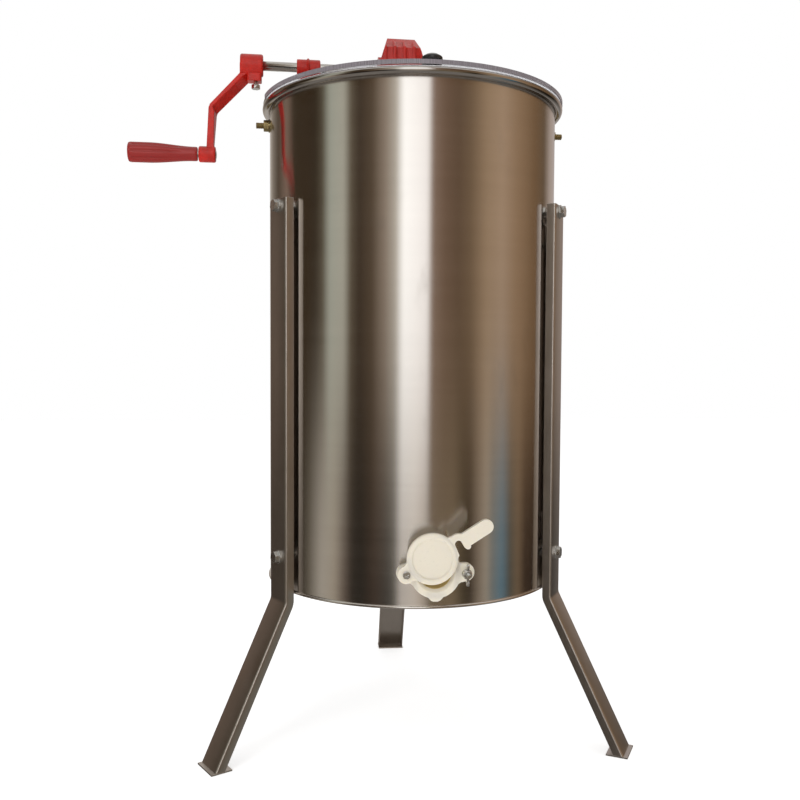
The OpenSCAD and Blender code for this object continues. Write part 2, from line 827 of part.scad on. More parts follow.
// Outline of the flap in its closed place, with its pivot at the origin.
module flap_outline() {
    reach = 2 * ear_x;
    difference() {
        union() {
            circle(r = 10.2);
            translate([ear_x, 0]) circle(r = flap_r);
            polygon([[0, 9], [ear_x - 15, 22], [ear_x - 15, -22], [0, -9]]);
            translate([reach, 0]) circle(r = hook_r);
            polygon([[ear_x + 10, 22], [reach, 10.4], [reach, 0], [ear_x + 22, -10]]);
            polygon([[reach + 5, 7.5], [reach + 37, 8.1], [reach + 37, -7.6], [reach + 7.5, -7]]);
            translate([reach + 37, 0.3]) circle(r = 8.6);
            translate([reach + 8.6, -8]) circle(r = 3);
        }
        translate([reach, 0]) circle(r = slot_r + 0.2);
        // The stud's path as the flap swings, from the slot's end to its open mouth
        intersection() {
            difference() {
                circle(r = reach + slot_r);
                circle(r = reach - slot_r);
            }
            polygon([[0, 0], [2 * reach, 0], [2 * reach, -reach]]);
        }
    }
}

module gate_flap() {
    color(IVORY) translate([-ear_x, 0, gate_z]) rotate([0, -flap_open, 0]) difference() {
        plate_y(flap_y, flap_t) offset(delta = 0.01) flap_outline();
        plate_y(flap_y + 1, flap_t + 2) circle(r = pivot_r + running);
        translate([ear_x, flap_y - flap_t + 2, 0]) rotate([90, 0, 0])
            cylinder(r = 23, h = 5);
    }
}

module wing_nut() {
    nut_y = -flap_y + flap_t + 0.7;
    color(ZINC) translate([ear_x, 0, 0]) radial(270, gate_z) difference() {
        union() {
            translate([0, 0, nut_y]) cylinder(r1 = 5.6, r2 = 4.2, h = 7);
            translate([-12.5, -1.3, nut_y + 2.5]) cube([25, 2.6, 7]);
        }
        translate([0, 0, nut_y - 1]) cylinder(r = pivot_r + running, h = 20);
    }
}

drum_shell();
drum_floor();
leg(LEG_ANGLES[0]);  // leg_left
leg(LEG_ANGLES[1]);  // leg_right
leg(LEG_ANGLES[2]);  // leg_rear
foot_plates();
leg_brackets();
leg_bolts();
leg_nuts();
bracket_bolts();
crossbar();
crossbar_bolts();
crossbar_nuts();
shaft_bearing();
bearing_screws();
gear_frame();
gear_frame_screws();
gear_hood();
hood_screws();
top_bush();
bottom_cup();
thrust_ball();
gate_body();
gate_gasket();
gate_lock_nut();
gate_pivot_screw();
gate_stud();
hinge_fixed_leaves();
hinge_pins();
hinge_screws();
crank_shaft();
shaft_collar();
drive_gear();
crank_arm();
crank_set_bolt();
grip_pin();
crank_grip();
spindle();
pinion();
top_spider();
bottom_spider();
cage_long_bars();
cage_end_bars();
cage_rods();
outer_screens();
inner_screens();
frame_rests();
half_lid();  // front_lid
lid_leaves();  // front_lid_leaves
lid_knob();  // front_lid_knob
mirror([0, 1, 0]) half_lid();  // rear_lid
mirror([0, 1, 0]) lid_leaves();  // rear_lid_leaves
mirror([0, 1, 0]) lid_knob();  // rear_lid_knob
gate_flap();
wing_nut();
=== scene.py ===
"""The finished look of a hand-cranked two-frame honey extractor, built round its CAD frame.

Shapes are drawn in millimetres and scaled to metres when they become objects. Z is up, the
honey gate faces -Y and the crank is at -X.
"""

from math import atan2, cos, degrees, hypot, pi, radians, sin

import bmesh
import bpy
from bpy.props import FloatProperty, FloatVectorProperty, IntProperty, PointerProperty
from mathutils import Matrix, Vector


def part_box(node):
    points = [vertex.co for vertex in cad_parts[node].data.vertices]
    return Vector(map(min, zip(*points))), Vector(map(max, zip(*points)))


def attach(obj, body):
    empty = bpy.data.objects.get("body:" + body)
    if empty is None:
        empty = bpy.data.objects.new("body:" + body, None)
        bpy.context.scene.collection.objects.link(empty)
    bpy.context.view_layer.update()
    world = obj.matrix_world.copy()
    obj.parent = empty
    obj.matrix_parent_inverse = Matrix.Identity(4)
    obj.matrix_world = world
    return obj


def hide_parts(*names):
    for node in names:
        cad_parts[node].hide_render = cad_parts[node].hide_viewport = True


bl_info = {
    "name": "Honey Extractor",
    "version": (1, 0, 0),
    "blender": (4, 5, 0),
    "location": "View3D > Sidebar > Extractor",
    "description": "Finishes the frame of a hand-cranked honey extractor",
    "category": "Object",
}

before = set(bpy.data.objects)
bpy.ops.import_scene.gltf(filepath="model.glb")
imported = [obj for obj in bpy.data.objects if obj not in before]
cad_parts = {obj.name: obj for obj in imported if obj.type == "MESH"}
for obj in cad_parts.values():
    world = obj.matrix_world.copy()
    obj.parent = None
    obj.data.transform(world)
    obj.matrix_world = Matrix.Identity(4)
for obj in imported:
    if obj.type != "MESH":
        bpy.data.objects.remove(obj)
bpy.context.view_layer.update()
MM = 0.001


class Room:
    """The box of one or more CAD nodes at rest, in millimetres."""

    def __init__(self, *nodes):
        corners = [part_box(node) for node in nodes]
        self.lo = Vector([min(low[i] for low, _ in corners) / MM for i in range(3)])
        self.hi = Vector([max(high[i] for _, high in corners) / MM for i in range(3)])
        self.mid = (self.lo + self.hi) / 2
        self.size = self.hi - self.lo


DRUM = Room("drum_shell")
LEG = Room("leg_rear")
GRIP = Room("crank_grip")
GATE = Room("gate_body")
SHAFT_Z = Room("crank_shaft").mid.z
GATE_Z = Room("gate_pivot_screw").mid.z
EAR_X = Room("wing_nut").mid.x
FLAP_FRONT = Room("gate_flap").lo.y
BAR_TOP = Room("hinge_fixed_leaves").lo.z
LID_UNDER = Room("front_lid").lo.z
LID_TOP = Room("front_lid").hi.z
LEG_ANGLES = [radians(208.5), radians(328.5), radians(88.5)]
UPPER_BOLT_Z = Room("leg_bolts").hi.z - 8.5
LOWER_BOLT_Z = Room("leg_bolts").lo.z + 8.5
WALL_BOLT_SHIFT = 42
LEG_FACE = 204.5
FOOT_OUT = 289.73
HINGE_HOLES_X = (-104, -88, 88, 104)
KNOB_Y = -165
SPOUT_END_Y = -174
GATE_BOLTS_Y = -207


# ---- sizes and colours that a user may change ----


def millimetres(name, about, default):
    return FloatProperty(name=name, description=about + ", in mm", default=default)


def shade(name, about, default):
    return FloatVectorProperty(name=name, description=about, subtype="COLOR", default=default)


class DrumSettings(bpy.types.PropertyGroup):
    """Sizes and finish of the drum"""

    steps: IntProperty(name="Steps", description="Segments round the drum", default=256, min=64)
    wall: millimetres("Wall", "Thickness of the sheet", 1.0)
    steel: shade("Steel", "Colour of the drum's sheet", (0.72, 0.69, 0.66))
    grain: FloatProperty(
        name="Grain", description="Roughness of the brushed sheet", subtype="FACTOR",
        default=0.17, min=0, max=1)


class LegSettings(bpy.types.PropertyGroup):
    """Sizes of the legs"""

    width: millimetres("Width", "Width across the face", 41)
    depth: millimetres("Depth", "Depth of the channel", 11.5)
    sheet: millimetres("Sheet", "Thickness of the sheet", 2)
    corner: millimetres("Corner", "Radius of the folds", 2.6)
    splay: FloatProperty(
        name="Splay", description="Slope of the lower part", subtype="ANGLE",
        default=radians(26.5))


class PaintSettings(bpy.types.PropertyGroup):
    """Colours of the painted and moulded parts"""

    red: shade("Red", "Paint of the castings", (0.55, 0.017, 0.010))
    grip: shade("Grip", "Plastic of the grip", (0.30, 0.014, 0.012))
    ivory: shade("Ivory", "Plastic of the honey gate", (0.80, 0.735, 0.61))


class StageSettings(bpy.types.PropertyGroup):
    """The studio round the extractor"""

    lens: millimetres("Lens", "Focal length", 39.73)
    room_light: FloatProperty(
        name="Room light", description="Strength of the light from all round", default=0.42)
    key_light: FloatProperty(name="Key light", description="Power of the key light", default=19,
                             unit="POWER")


# ---- materials ----


def sign(operation, swapped=False):
    """The method of an arithmetic sign, which adds a Math node."""

    def method(self, other):
        return self.maths(operation, *((other, self) if swapped else (self, other)))

    return method


class Wire:
    """A socket of a shader node, which adds Math nodes when an expression uses it."""

    def __init__(self, tree, socket):
        self.tree = tree
        self.socket = socket

    def maths(self, operation, first, second=0.0, third=0.0):
        return self.tree.node("Math", {"operation": operation}, {0: first, 1: second, 2: third})

    __add__, __radd__ = sign("ADD"), sign("ADD", swapped=True)
    __sub__, __rsub__ = sign("SUBTRACT"), sign("SUBTRACT", swapped=True)
    __mul__, __truediv__, __pow__ = sign("MULTIPLY"), sign("DIVIDE"), sign("POWER")

    def other(self, name):
        """Another output of the same node."""
        return Wire(self.tree, self.socket.node.outputs[name])

    def step(self, low, high):
        """0 below low and 1 above high, with a smooth change between them."""
        return self.tree.node("MapRange", {"interpolation_type": "SMOOTHSTEP"},
            {"Value": self, "From Min": low, "From Max": high})


class Tree:
    """A shader tree and the one method that adds a node to it."""

    def __init__(self, tree):
        self.tree = tree
        tree.nodes.clear()

    def node(self, kind, settings=None, inputs=None, out=0):
        made = self.tree.nodes.new("ShaderNode" + kind)
        for name, value in (settings or {}).items():
            if name == "stops":
                set_ramp(made.color_ramp, value)
            else:
                setattr(made, name, value)
        for name, value in (inputs or {}).items():
            self.feed(made.inputs[name], value)
        return Wire(self, made.outputs[out]) if made.outputs else None

    def feed(self, socket, value):
        """Links a wire to a socket, or sets the socket's own value."""
        if isinstance(value, Wire):
            self.tree.links.new(value.socket, socket)
        else:
            socket.default_value = value

    def blend(self, share, first, second):
        """A colour between two colours."""
        made = self.tree.nodes.new("ShaderNodeMix")
        made.data_type = "RGBA"
        self.feed(made.inputs[0], share)
        for index, colour in ((6, first), (7, second)):
            self.feed(made.inputs[index], colour if isinstance(colour, Wire) else rgba(colour))
        return Wire(self, made.outputs[2])

    def place(self, scale=(1, 1, 1), shift=(0, 0, 0)):
        """The object's own coordinates, stretched."""
        spot = self.node("TexCoord", out="Object")
        return self.node("Mapping", None,
                         {"Vector": spot, "Scale": scale, "Location": shift})

    def noise(self, scale, detail=2.0, roughness=0.5, shift=(0, 0, 0)):
        """Noise whose grains are 1 / scale metres, the same or different along each axis."""
        scale = scale if isinstance(scale, tuple) else (scale,) * 3
        return self.node("TexNoise", None,
            {"Vector": self.place(scale, shift), "Scale": 1.0, "Detail": detail,
             "Roughness": roughness}, out=0)

    def bump(self, height, strength, distance=0.0002):
        return self.node("Bump", None,
                         {"Height": height, "Strength": strength, "Distance": distance})


def linked(name, data):
    """A new object in the scene."""
    made = bpy.data.objects.new(name, data)
    bpy.context.collection.objects.link(made)
    return made


def rgba(colour):
    return (*colour[:3], 1.0)


def set_ramp(ramp, stops):
    """Gives a ramp its stops, a list of (position, colour)."""
    ramp.interpolation = "LINEAR"
    while len(ramp.elements) < len(stops):
        ramp.elements.new(0.5)
    for element, (position, colour) in zip(ramp.elements, stops):
        element.position = position
        element.color = rgba(colour)


def blank(name):
    """A new material and its emptied shader tree."""
    material = bpy.data.materials.new(name)
    material.use_nodes = True
    return material, Tree(material.node_tree)


def finish(name, make):
    """A material whose shader sockets come from make(tree), which returns a dict."""
    material, tree = blank(name)
    shader = tree.node("BsdfPrincipled", None, make(tree), out="BSDF")
    tree.node("OutputMaterial", None, {"Surface": shader})
    return material


def tinted(colour, factor):
    return tuple(min(1.0, c * factor) for c in colour[:3])


def drum_sheet(tree):
    """Sheet brushed round the drum, so that reflections are drawn out up and down."""
    drum = bpy.context.scene.extractor_drum
    lines = tree.noise((14, 14, 1500), 3, 0.6)
    bands = tree.noise((2.5, 2.5, 60), 3, 0.55)
    clouds = tree.noise((7, 7, 3), 3, 0.5)
    smudge = tree.noise((26, 26, 11), 4, 0.6, (3, 1, 2)).step(0.56, 0.8)
    tone = tree.blend(bands * 0.4 + clouds * 0.3 + lines * 0.3, tinted(drum.steel, 0.86),
                      tinted(drum.steel, 1.10))
    return {
        "Base Color": tree.blend(smudge * 0.25, tone, tinted(drum.steel, 0.84)),
        "Metallic": 1.0,
        "Roughness": drum.grain - 0.04 + lines * 0.05 + bands * 0.03 + smudge * 0.06,
        "Anisotropic": 0.92,
        "Anisotropic Rotation": 0.25,
        "Normal": tree.bump(lines * 0.7 + bands * 0.3, 0.09),
    }


def plain_steel(colour, roughness, grain=(700, 700, 18), wear=0.12):
    """Rolled or drawn steel with fine lines, faint stains and scuffs."""

    def make(tree):
        lines = tree.noise(grain, 3, 0.6)
        stains = tree.noise((38, 38, 30), 4, 0.6)
        scuffs = tree.noise(210, 5, 0.7, (5, 2, 8)).step(0.58, 0.72)
        tone = tree.blend(stains, tinted(colour, 0.86), tinted(colour, 1.08))
        return {
            "Base Color": tree.blend(scuffs * wear, tone, tinted(colour, 0.6)),
            "Metallic": 1.0,
            "Roughness": roughness - 0.05 + lines * 0.07 + stains * 0.05 + scuffs * 0.08,
            "Anisotropic": 0.35,
            "Normal": tree.bump(lines, 0.10),
        }

    return make


def plated(colour, roughness):
    """Bright plating with a fine spangle and dull patches."""

    def make(tree):
        spangle = tree.noise(420, 2, 0.5)
        patches = tree.noise(120, 4, 0.6, (1, 4, 2)).step(0.45, 0.7)
        tone = tree.blend(spangle, tinted(colour, 0.84), tinted(colour, 1.1))
        return {
            "Base Color": tree.blend(patches * 0.4, tone, tinted(colour, 0.66)),
            "Metallic": 1.0,
            "Roughness": roughness + patches * 0.16 + spangle * 0.05,
            "Normal": tree.bump(spangle, 0.12),
        }

    return make


def cast_paint(colour):
    """Thick gloss paint over a rough casting, faded in some patches, with specks of dirt."""

    def make(tree):
        lumps = tree.noise(95, 3, 0.55)
        grain = tree.noise(520, 3, 0.6, (2, 7, 4))
        specks = tree.noise(640, 2, 0.5, (9, 3, 1)).step(0.66, 0.74)
        faded = tree.noise(60, 4, 0.65, (6, 1, 3)).step(0.48, 0.72)
        tone = tree.blend(lumps, tinted(colour, 0.55), tinted(colour, 1.25))
        tone = tree.blend(faded * 0.22, tone, (0.70, 0.06, 0.045))
        return {
            "Base Color": tree.blend(specks * 0.7, tone, (0.16, 0.03, 0.025)),
            "Roughness": 0.22 + grain * 0.16 + specks * 0.25 + faded * 0.08,
            "Specular IOR Level": 0.3,
            "Coat Weight": 0.35,
            "Coat Roughness": 0.06,
            "Normal": tree.bump(lumps * 0.5 + grain * 0.5, 0.75, 0.0014),
        }

    return make


def moulded(colour, roughness, glow=0.0, coarse=240, coat=0.0, painted_glow=0.0):
    """Moulded plastic with faint flow marks, fine grain and handling marks.

    glow is the share of light that spreads inside it; the last argument is a painted glow.
    """

    def make(tree):
        flow = tree.noise((26, 26, 14), 3, 0.5)
        grain = tree.noise(coarse * 5, 2, 0.5)
        marks = tree.noise(coarse, 5, 0.7, (4, 9, 2)).step(0.56, 0.74)
        tone = tree.blend(flow, tinted(colour, 0.93), tinted(colour, 1.05))
        sockets = {
            "Base Color": tree.blend(marks * 0.35, tone, tinted(colour, 0.74)),
            "Roughness": roughness + flow * 0.06 + marks * 0.12,
            "Coat Weight": coat,
            "Normal": tree.bump(grain * 0.6 + flow * 0.4, 0.12, 0.0004),
        }
        # Painted glow: emission in the plastic's own colour stands in for light bouncing into
        # shade
        if painted_glow:
            sockets["Emission Color"] = rgba(colour)
            sockets["Emission Strength"] = painted_glow
        if glow:
            sockets["Subsurface Weight"] = glow
            sockets["Subsurface Radius"] = (1.0, 0.8, 0.45)
            sockets["Subsurface Scale"] = 0.004
        return sockets

    return make


def clear_sheet(name):
    """Clear acrylic whose sawn edge is frosted and whose faces carry light scratches."""
    material, tree = blank(name)
    spot = tree.node("TexCoord", out="Object")
    parts = tree.node("SeparateXYZ", None, {0: spot})
    x, y = parts, parts.other("Y")
    turn = parts.maths("ARCTAN2", y, x)
    distance = (x * x + y * y) ** 0.5
    edge = distance.step(0.1978, 0.1984)
    saw = tree.node("TexNoise", {"noise_dimensions": "1D"},
                    {"W": turn, "Scale": 190.0, "Detail": 3.0, "Roughness": 0.7}, out=0)
    scratches = tree.noise((60, 900, 60), 4, 0.6).step(0.6, 0.72)
    haze = tree.noise(14, 4, 0.6).step(0.45, 0.8)
    sheet = tree.node("BsdfPrincipled", None, {
        "Base Color": tree.blend(haze * 0.6, (0.85, 0.85, 0.88), (0.72, 0.72, 0.77)),
        "Roughness": 0.03 + scratches * 0.10 + haze * 0.05,
        "IOR": 1.49, "Transmission Weight": 1.0,
        "Normal": tree.bump(scratches, 0.03),
    }, out="BSDF")
    frosted = tree.node("BsdfPrincipled", None, {
        "Base Color": tree.blend(saw.step(0.30, 0.70), (0.13, 0.115, 0.125), (0.29, 0.26, 0.285)),
        "Roughness": 0.38 + saw * 0.2,
        "Coat Weight": 0.4,
        "Normal": tree.bump(saw, 0.25, 0.0005),
    }, out="BSDF")
    both = tree.node("MixShader", None, {0: edge * 0.94, 1: sheet, 2: frosted})
    tree.node("OutputMaterial", None, {"Surface": both})
    return material


FINISHES = {}


def make_finishes():
    """Every material of the extractor, by the name of its slot."""
    drum = bpy.context.scene.extractor_drum
    paint = bpy.context.scene.extractor_paint
    black, dull_black, cream = (0.018, 0.018, 0.019), (0.022, 0.022, 0.023), (0.74, 0.72, 0.64)
    for slot, name, make in (
            ("drum_steel", "drum_steel_brushed", drum_sheet),
            # The rolled rim and the floor pan take a darker copy of the drum's steel: painted
            # shade
            ("rim_steel", "rim_steel_polished_painted_shade",
             plain_steel(tinted(drum.steel, 0.80), 0.11, 300, 0.05)),
            ("leg_steel", "leg_steel_rolled", plain_steel((0.60, 0.56, 0.52), 0.30)),
            ("bar_steel", "bar_steel_rolled",
             plain_steel((0.66, 0.64, 0.61), 0.26, (18, 900, 900))),
            ("basket_steel", "basket_steel_drawn",
             plain_steel((0.66, 0.65, 0.64), 0.24, 500)),
            ("shaft_steel", "shaft_steel_turned",
             plain_steel((0.62, 0.60, 0.57), 0.20, (1500, 60, 60))),
            ("zinc", "zinc_bright", plated((0.72, 0.73, 0.72), 0.20)),
            ("yellow_zinc", "zinc_yellow", plated((0.50, 0.41, 0.21), 0.20)),
            ("red_paint", "red_paint_cast", cast_paint(paint.red)),
            ("gate_plastic", "gate_plastic_ivory", moulded(paint.ivory, 0.36, 0.18)),
            # The spout's bore is lined with a darker, yellower ivory that glows: painted shade and
            # painted glow for the spout's shaded inside
            ("gate_bore", "gate_bore_painted_shade_and_glow",
             moulded((0.62, 0.47, 0.20), 0.5, 0.3, painted_glow=0.16)),
            ("nylon", "nylon_natural", moulded(cream, 0.42, 0.12)),
            ("gasket_rubber", "gasket_rubber_black", moulded(dull_black, 0.62)),
            ("grip_plastic", "grip_plastic_red",
             moulded(paint.grip, 0.27, coarse=320, coat=0.25)),
            ("knob_plastic", "knob_plastic_black", moulded(black, 0.30, coat=0.3)),
            ("knob_cap", "knob_cap_metal", plated((0.55, 0.57, 0.56), 0.22))):
        FINISHES[slot] = finish(name, make)
    FINISHES["clear_lid"] = clear_sheet("clear_lid_acrylic")


# ---- shapes, in millimetres ----


def at(x=0.0, y=0.0, z=0.0):
    return Matrix.Translation((x, y, z))


def rot(angle, axis="Z"):
    """A turn about one axis, in radians."""
    return Matrix.Rotation(angle, 4, axis)


def along_x(x, z, y=0.0):
    """Lays a shape that is drawn along +Z along +X."""
    return at(x, y, z) @ rot(pi / 2, "Y")


def outward(angle, z, distance=0.0):
    """Turns a shape that is drawn along +Z to point away from the drum's axis."""
    return (rot(angle) @ at(distance, 0, z)
            @ rot(pi / 2, "Y"))


def to_front(x, y, z):
    """Stands a flat shape up so that its +Z points at -Y and its +Y points up."""
    return at(x, y, z) @ rot(pi / 2, "X")


def arc(x, y, radius, start, end, count):
    """Points on an arc from one angle to another, in degrees."""
    turns = [radians(start + (end - start) * i / count) for i in range(count + 1)]
    return [(x + radius * cos(t), y + radius * sin(t)) for t in turns]


class Shape:
    """A bmesh that collects solids drawn in millimetres."""

    def __init__(self):
        self.bm = bmesh.new()

    def settle(self, before, place):
        """Puts the new vertices in place."""
        new = [v for v in self.bm.verts if v not in before]
        bmesh.ops.transform(self.bm, matrix=place, verts=new)
        return new

    def rod(self, radius, height, place=Matrix(), sides=32, top=None):
        """A cylinder or cone that stands on its place."""
        bmesh.ops.create_cone(
            self.bm, cap_ends=True, segments=sides, radius1=radius,
            radius2=radius if top is None else top, depth=height,
            matrix=place @ at(0, 0, height / 2))
        return self

    def block(self, size, place=Matrix()):
        """A block centred on its place."""
        bmesh.ops.create_cube(self.bm, size=1.0, matrix=place @ Matrix.Diagonal((*size, 1)))
        return self

    def hexagon(self, across, height, place=Matrix()):
        """A hexagon bar with the corners of its top face turned off."""
        before = set(self.bm.verts)
        radius = across / 2 / cos(pi / 6)
        made = bmesh.ops.create_cone(
            self.bm, cap_ends=True, segments=6, radius1=radius, radius2=radius,
            depth=height, matrix=at(0, 0, height / 2))
        tops = [v for v in made["verts"] if v.co.z > height / 2]
        bmesh.ops.bevel(self.bm, geom=tops, offset=across * 0.1, offset_type="OFFSET",
                        affect="VERTICES", segments=2, profile=0.5, material=-1)
        self.settle(before, place)
        return self

    def turned(self, profile, place=Matrix(), steps=48, closed=False):
        """A lathe shape from (radius, height) points."""
        before = set(self.bm.verts)
        verts = [self.bm.verts.new((r, 0, h)) for r, h in profile]
        edges = [self.bm.edges.new(pair) for pair in zip(verts, verts[1:])]
        if closed:
            edges.append(self.bm.edges.new((verts[-1], verts[0])))
        bmesh.ops.spin(self.bm, geom=verts + edges, cent=(0, 0, 0), axis=(0, 0, 1),
                       angle=2 * pi, steps=steps, use_merge=True)
        new = [v for v in self.bm.verts if v not in before]
        bmesh.ops.remove_doubles(self.bm, verts=new, dist=0.0005)
        new = self.settle(before, place)
        bmesh.ops.recalc_face_normals(self.bm, faces=list({f for v in new for f in v.link_faces}))
        return self

    def plate(self, outlines, thickness, place=Matrix()):
        """A flat plate along +Z from an outline and, after it, the outlines of its holes."""
        before = set(self.bm.verts)
        edges = []
        for outline in outlines:
            verts = [self.bm.verts.new((x, y, 0)) for x, y in outline]
            edges += [self.bm.edges.new(p) for p in zip(verts, verts[1:] + verts[:1])]
        bmesh.ops.triangle_fill(self.bm, edges=edges, use_beauty=True, use_dissolve=True)
        faces = list({f for e in edges for f in e.link_faces})
        out = bmesh.ops.extrude_face_region(self.bm, geom=faces)
        moved = [v for v in out["geom"] if isinstance(v, bmesh.types.BMVert)]
        bmesh.ops.translate(self.bm, verts=moved, vec=(0, 0, thickness))
        new = self.settle(before, place)
        bmesh.ops.recalc_face_normals(self.bm, faces=list({f for v in new for f in v.link_faces}))
        return self

    def piece(self, name, slot, body, nodes=(), bevel=0.0, segments=2, finish_name=None,
              sharp=38):
        """Turns the shape into a finished piece that stands for CAD nodes."""
        bmesh.ops.scale(self.bm, vec=(MM, MM, MM), verts=self.bm.verts)
        for face in self.bm.faces:
            face.smooth = True
        if not bevel:
            for edge in self.bm.edges:
                edge.smooth = not (edge.is_manifold and edge.calc_face_angle(0) > radians(sharp))
        mesh = bpy.data.meshes.new(name)
        self.bm.to_mesh(mesh)
        self.bm.free()
        mesh.materials.append(FINISHES[finish_name or slot])
        made = linked(name, mesh)
        if bevel:
            round_edges(made, bevel, segments)
        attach(made, body)
        if nodes:
            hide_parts(*nodes)
        return made


def round_edges(made, width, segments):
    """Rounds the edges of an object that are sharper than 35 degrees."""
    bevel = made.modifiers.new("Rounded edges", "BEVEL")
    bevel.width = width * MM
    bevel.segments = segments
    bevel.limit_method = "ANGLE"
    bevel.angle_limit = radians(35)
    bevel.harden_normals = True
    bevel.use_clamp_overlap = True


def eased(node, slot, body, bevel=0.3, segments=1):
    """A copy of a CAD node with its flat faces joined and its edges rounded."""
    shape = Shape()
    shape.bm.from_mesh(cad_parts[node].data)
    bmesh.ops.scale(shape.bm, vec=(1 / MM, 1 / MM, 1 / MM), verts=shape.bm.verts)
    bmesh.ops.remove_doubles(shape.bm, verts=shape.bm.verts, dist=0.002)
    bmesh.ops.dissolve_limit(shape.bm, angle_limit=radians(1.5), use_dissolve_boundaries=False,
                             verts=shape.bm.verts, edges=shape.bm.edges)
    return shape.piece(node + "_eased", slot, body, (node,), bevel, segments)


def thread(radius, length, pitch=1.25):
    """Profile of a threaded end, from its foot to the middle of its tip."""
    turns = int(length / pitch)
    points = [(radius, 0)]
    for i in range(turns):
        points += [(radius, i * pitch + 0.35 * pitch), (radius - 0.45, (i + 0.85) * pitch)]
    return points + [(radius - 0.6, length), (0, length)]


def pan_head(shape, radius, place):
    """A screw head with a cross recess."""
    height, arm, slit = radius * 0.62, radius * 0.52, radius * 0.14
    shape.turned([(0, 0), (radius, 0), (radius, height * 0.35), (radius * 0.92, height * 0.5),
                  (0, height * 0.5)], place, 24)
    cross = [(arm, -slit), (arm, slit), (slit, slit), (slit, arm), (-slit, arm), (-slit, slit),
             (-arm, slit), (-arm, -slit), (-slit, -slit), (-slit, -arm), (slit, -arm),
             (slit, -slit)]
    shape.plate([arc(0, 0, radius * 0.88, 0, 345, 23), cross], height * 0.52,
                place @ at(0, 0, height * 0.48))
    return shape


# ---- the pieces ----


class EXTRACTOR_OT_finishes(bpy.types.Operator):
    """Make the materials of the extractor"""

    bl_idname = "extractor.finishes"
    bl_label = "Finishes"

    def execute(self, context):
        make_finishes()
        return {"FINISHED"}


class EXTRACTOR_OT_drum(bpy.types.Operator):
    """Build the drum: its brushed wall, rolled rim, hem and floor"""

    bl_idname = "extractor.drum"
    bl_label = "Drum"

    def execute(self, context):
        drum = context.scene.extractor_drum
        bead = 5
        rim_r, rim_z = DRUM.hi.x - bead, DRUM.hi.z - bead
        outer = rim_r - bead + 0.5
        inner = outer - drum.wall
        hem = arc(outer + 0.6, DRUM.lo.z + 1.8, 1.8, 109.5, -152.7, 14)
        wall = [(inner, rim_z + 1), (outer - 0.5, rim_z + 1.4), (outer, rim_z + 1), *hem]
        Shape().turned(wall, steps=drum.steps, closed=True).piece(
            "drum_wall", "drum_steel", "tank", ("drum_shell",))
        rim = arc(rim_r, rim_z, bead, 0, 345, 23)
        # The bead takes the darker rim steel, a painted shade
        Shape().turned(rim, steps=drum.steps, closed=True).piece(
            "drum_rim", "drum_steel", "tank", finish_name="rim_steel")
        room = Room("drum_floor")
        low, high, edge = room.lo.z, room.hi.z, room.hi.x
        pan = [(0, high), (2, high - 0.2), (edge - 10, low + 1.4), (edge - 5, low + 1.3),
               (edge - 1, low + 2.4), (edge, low + 2.4), (edge, low), (edge - 1, low),
               (edge - 5, low + 0.3), (edge - 10, low + 0.4), (2, high - 1.2), (0, high - 1)]
        # The floor pan takes the darker rim steel, a painted shade
        Shape().turned(pan, steps=128).piece(
            "drum_floor_pan", "drum_steel", "tank", ("drum_floor",), finish_name="rim_steel")
        return {"FINISHED"}


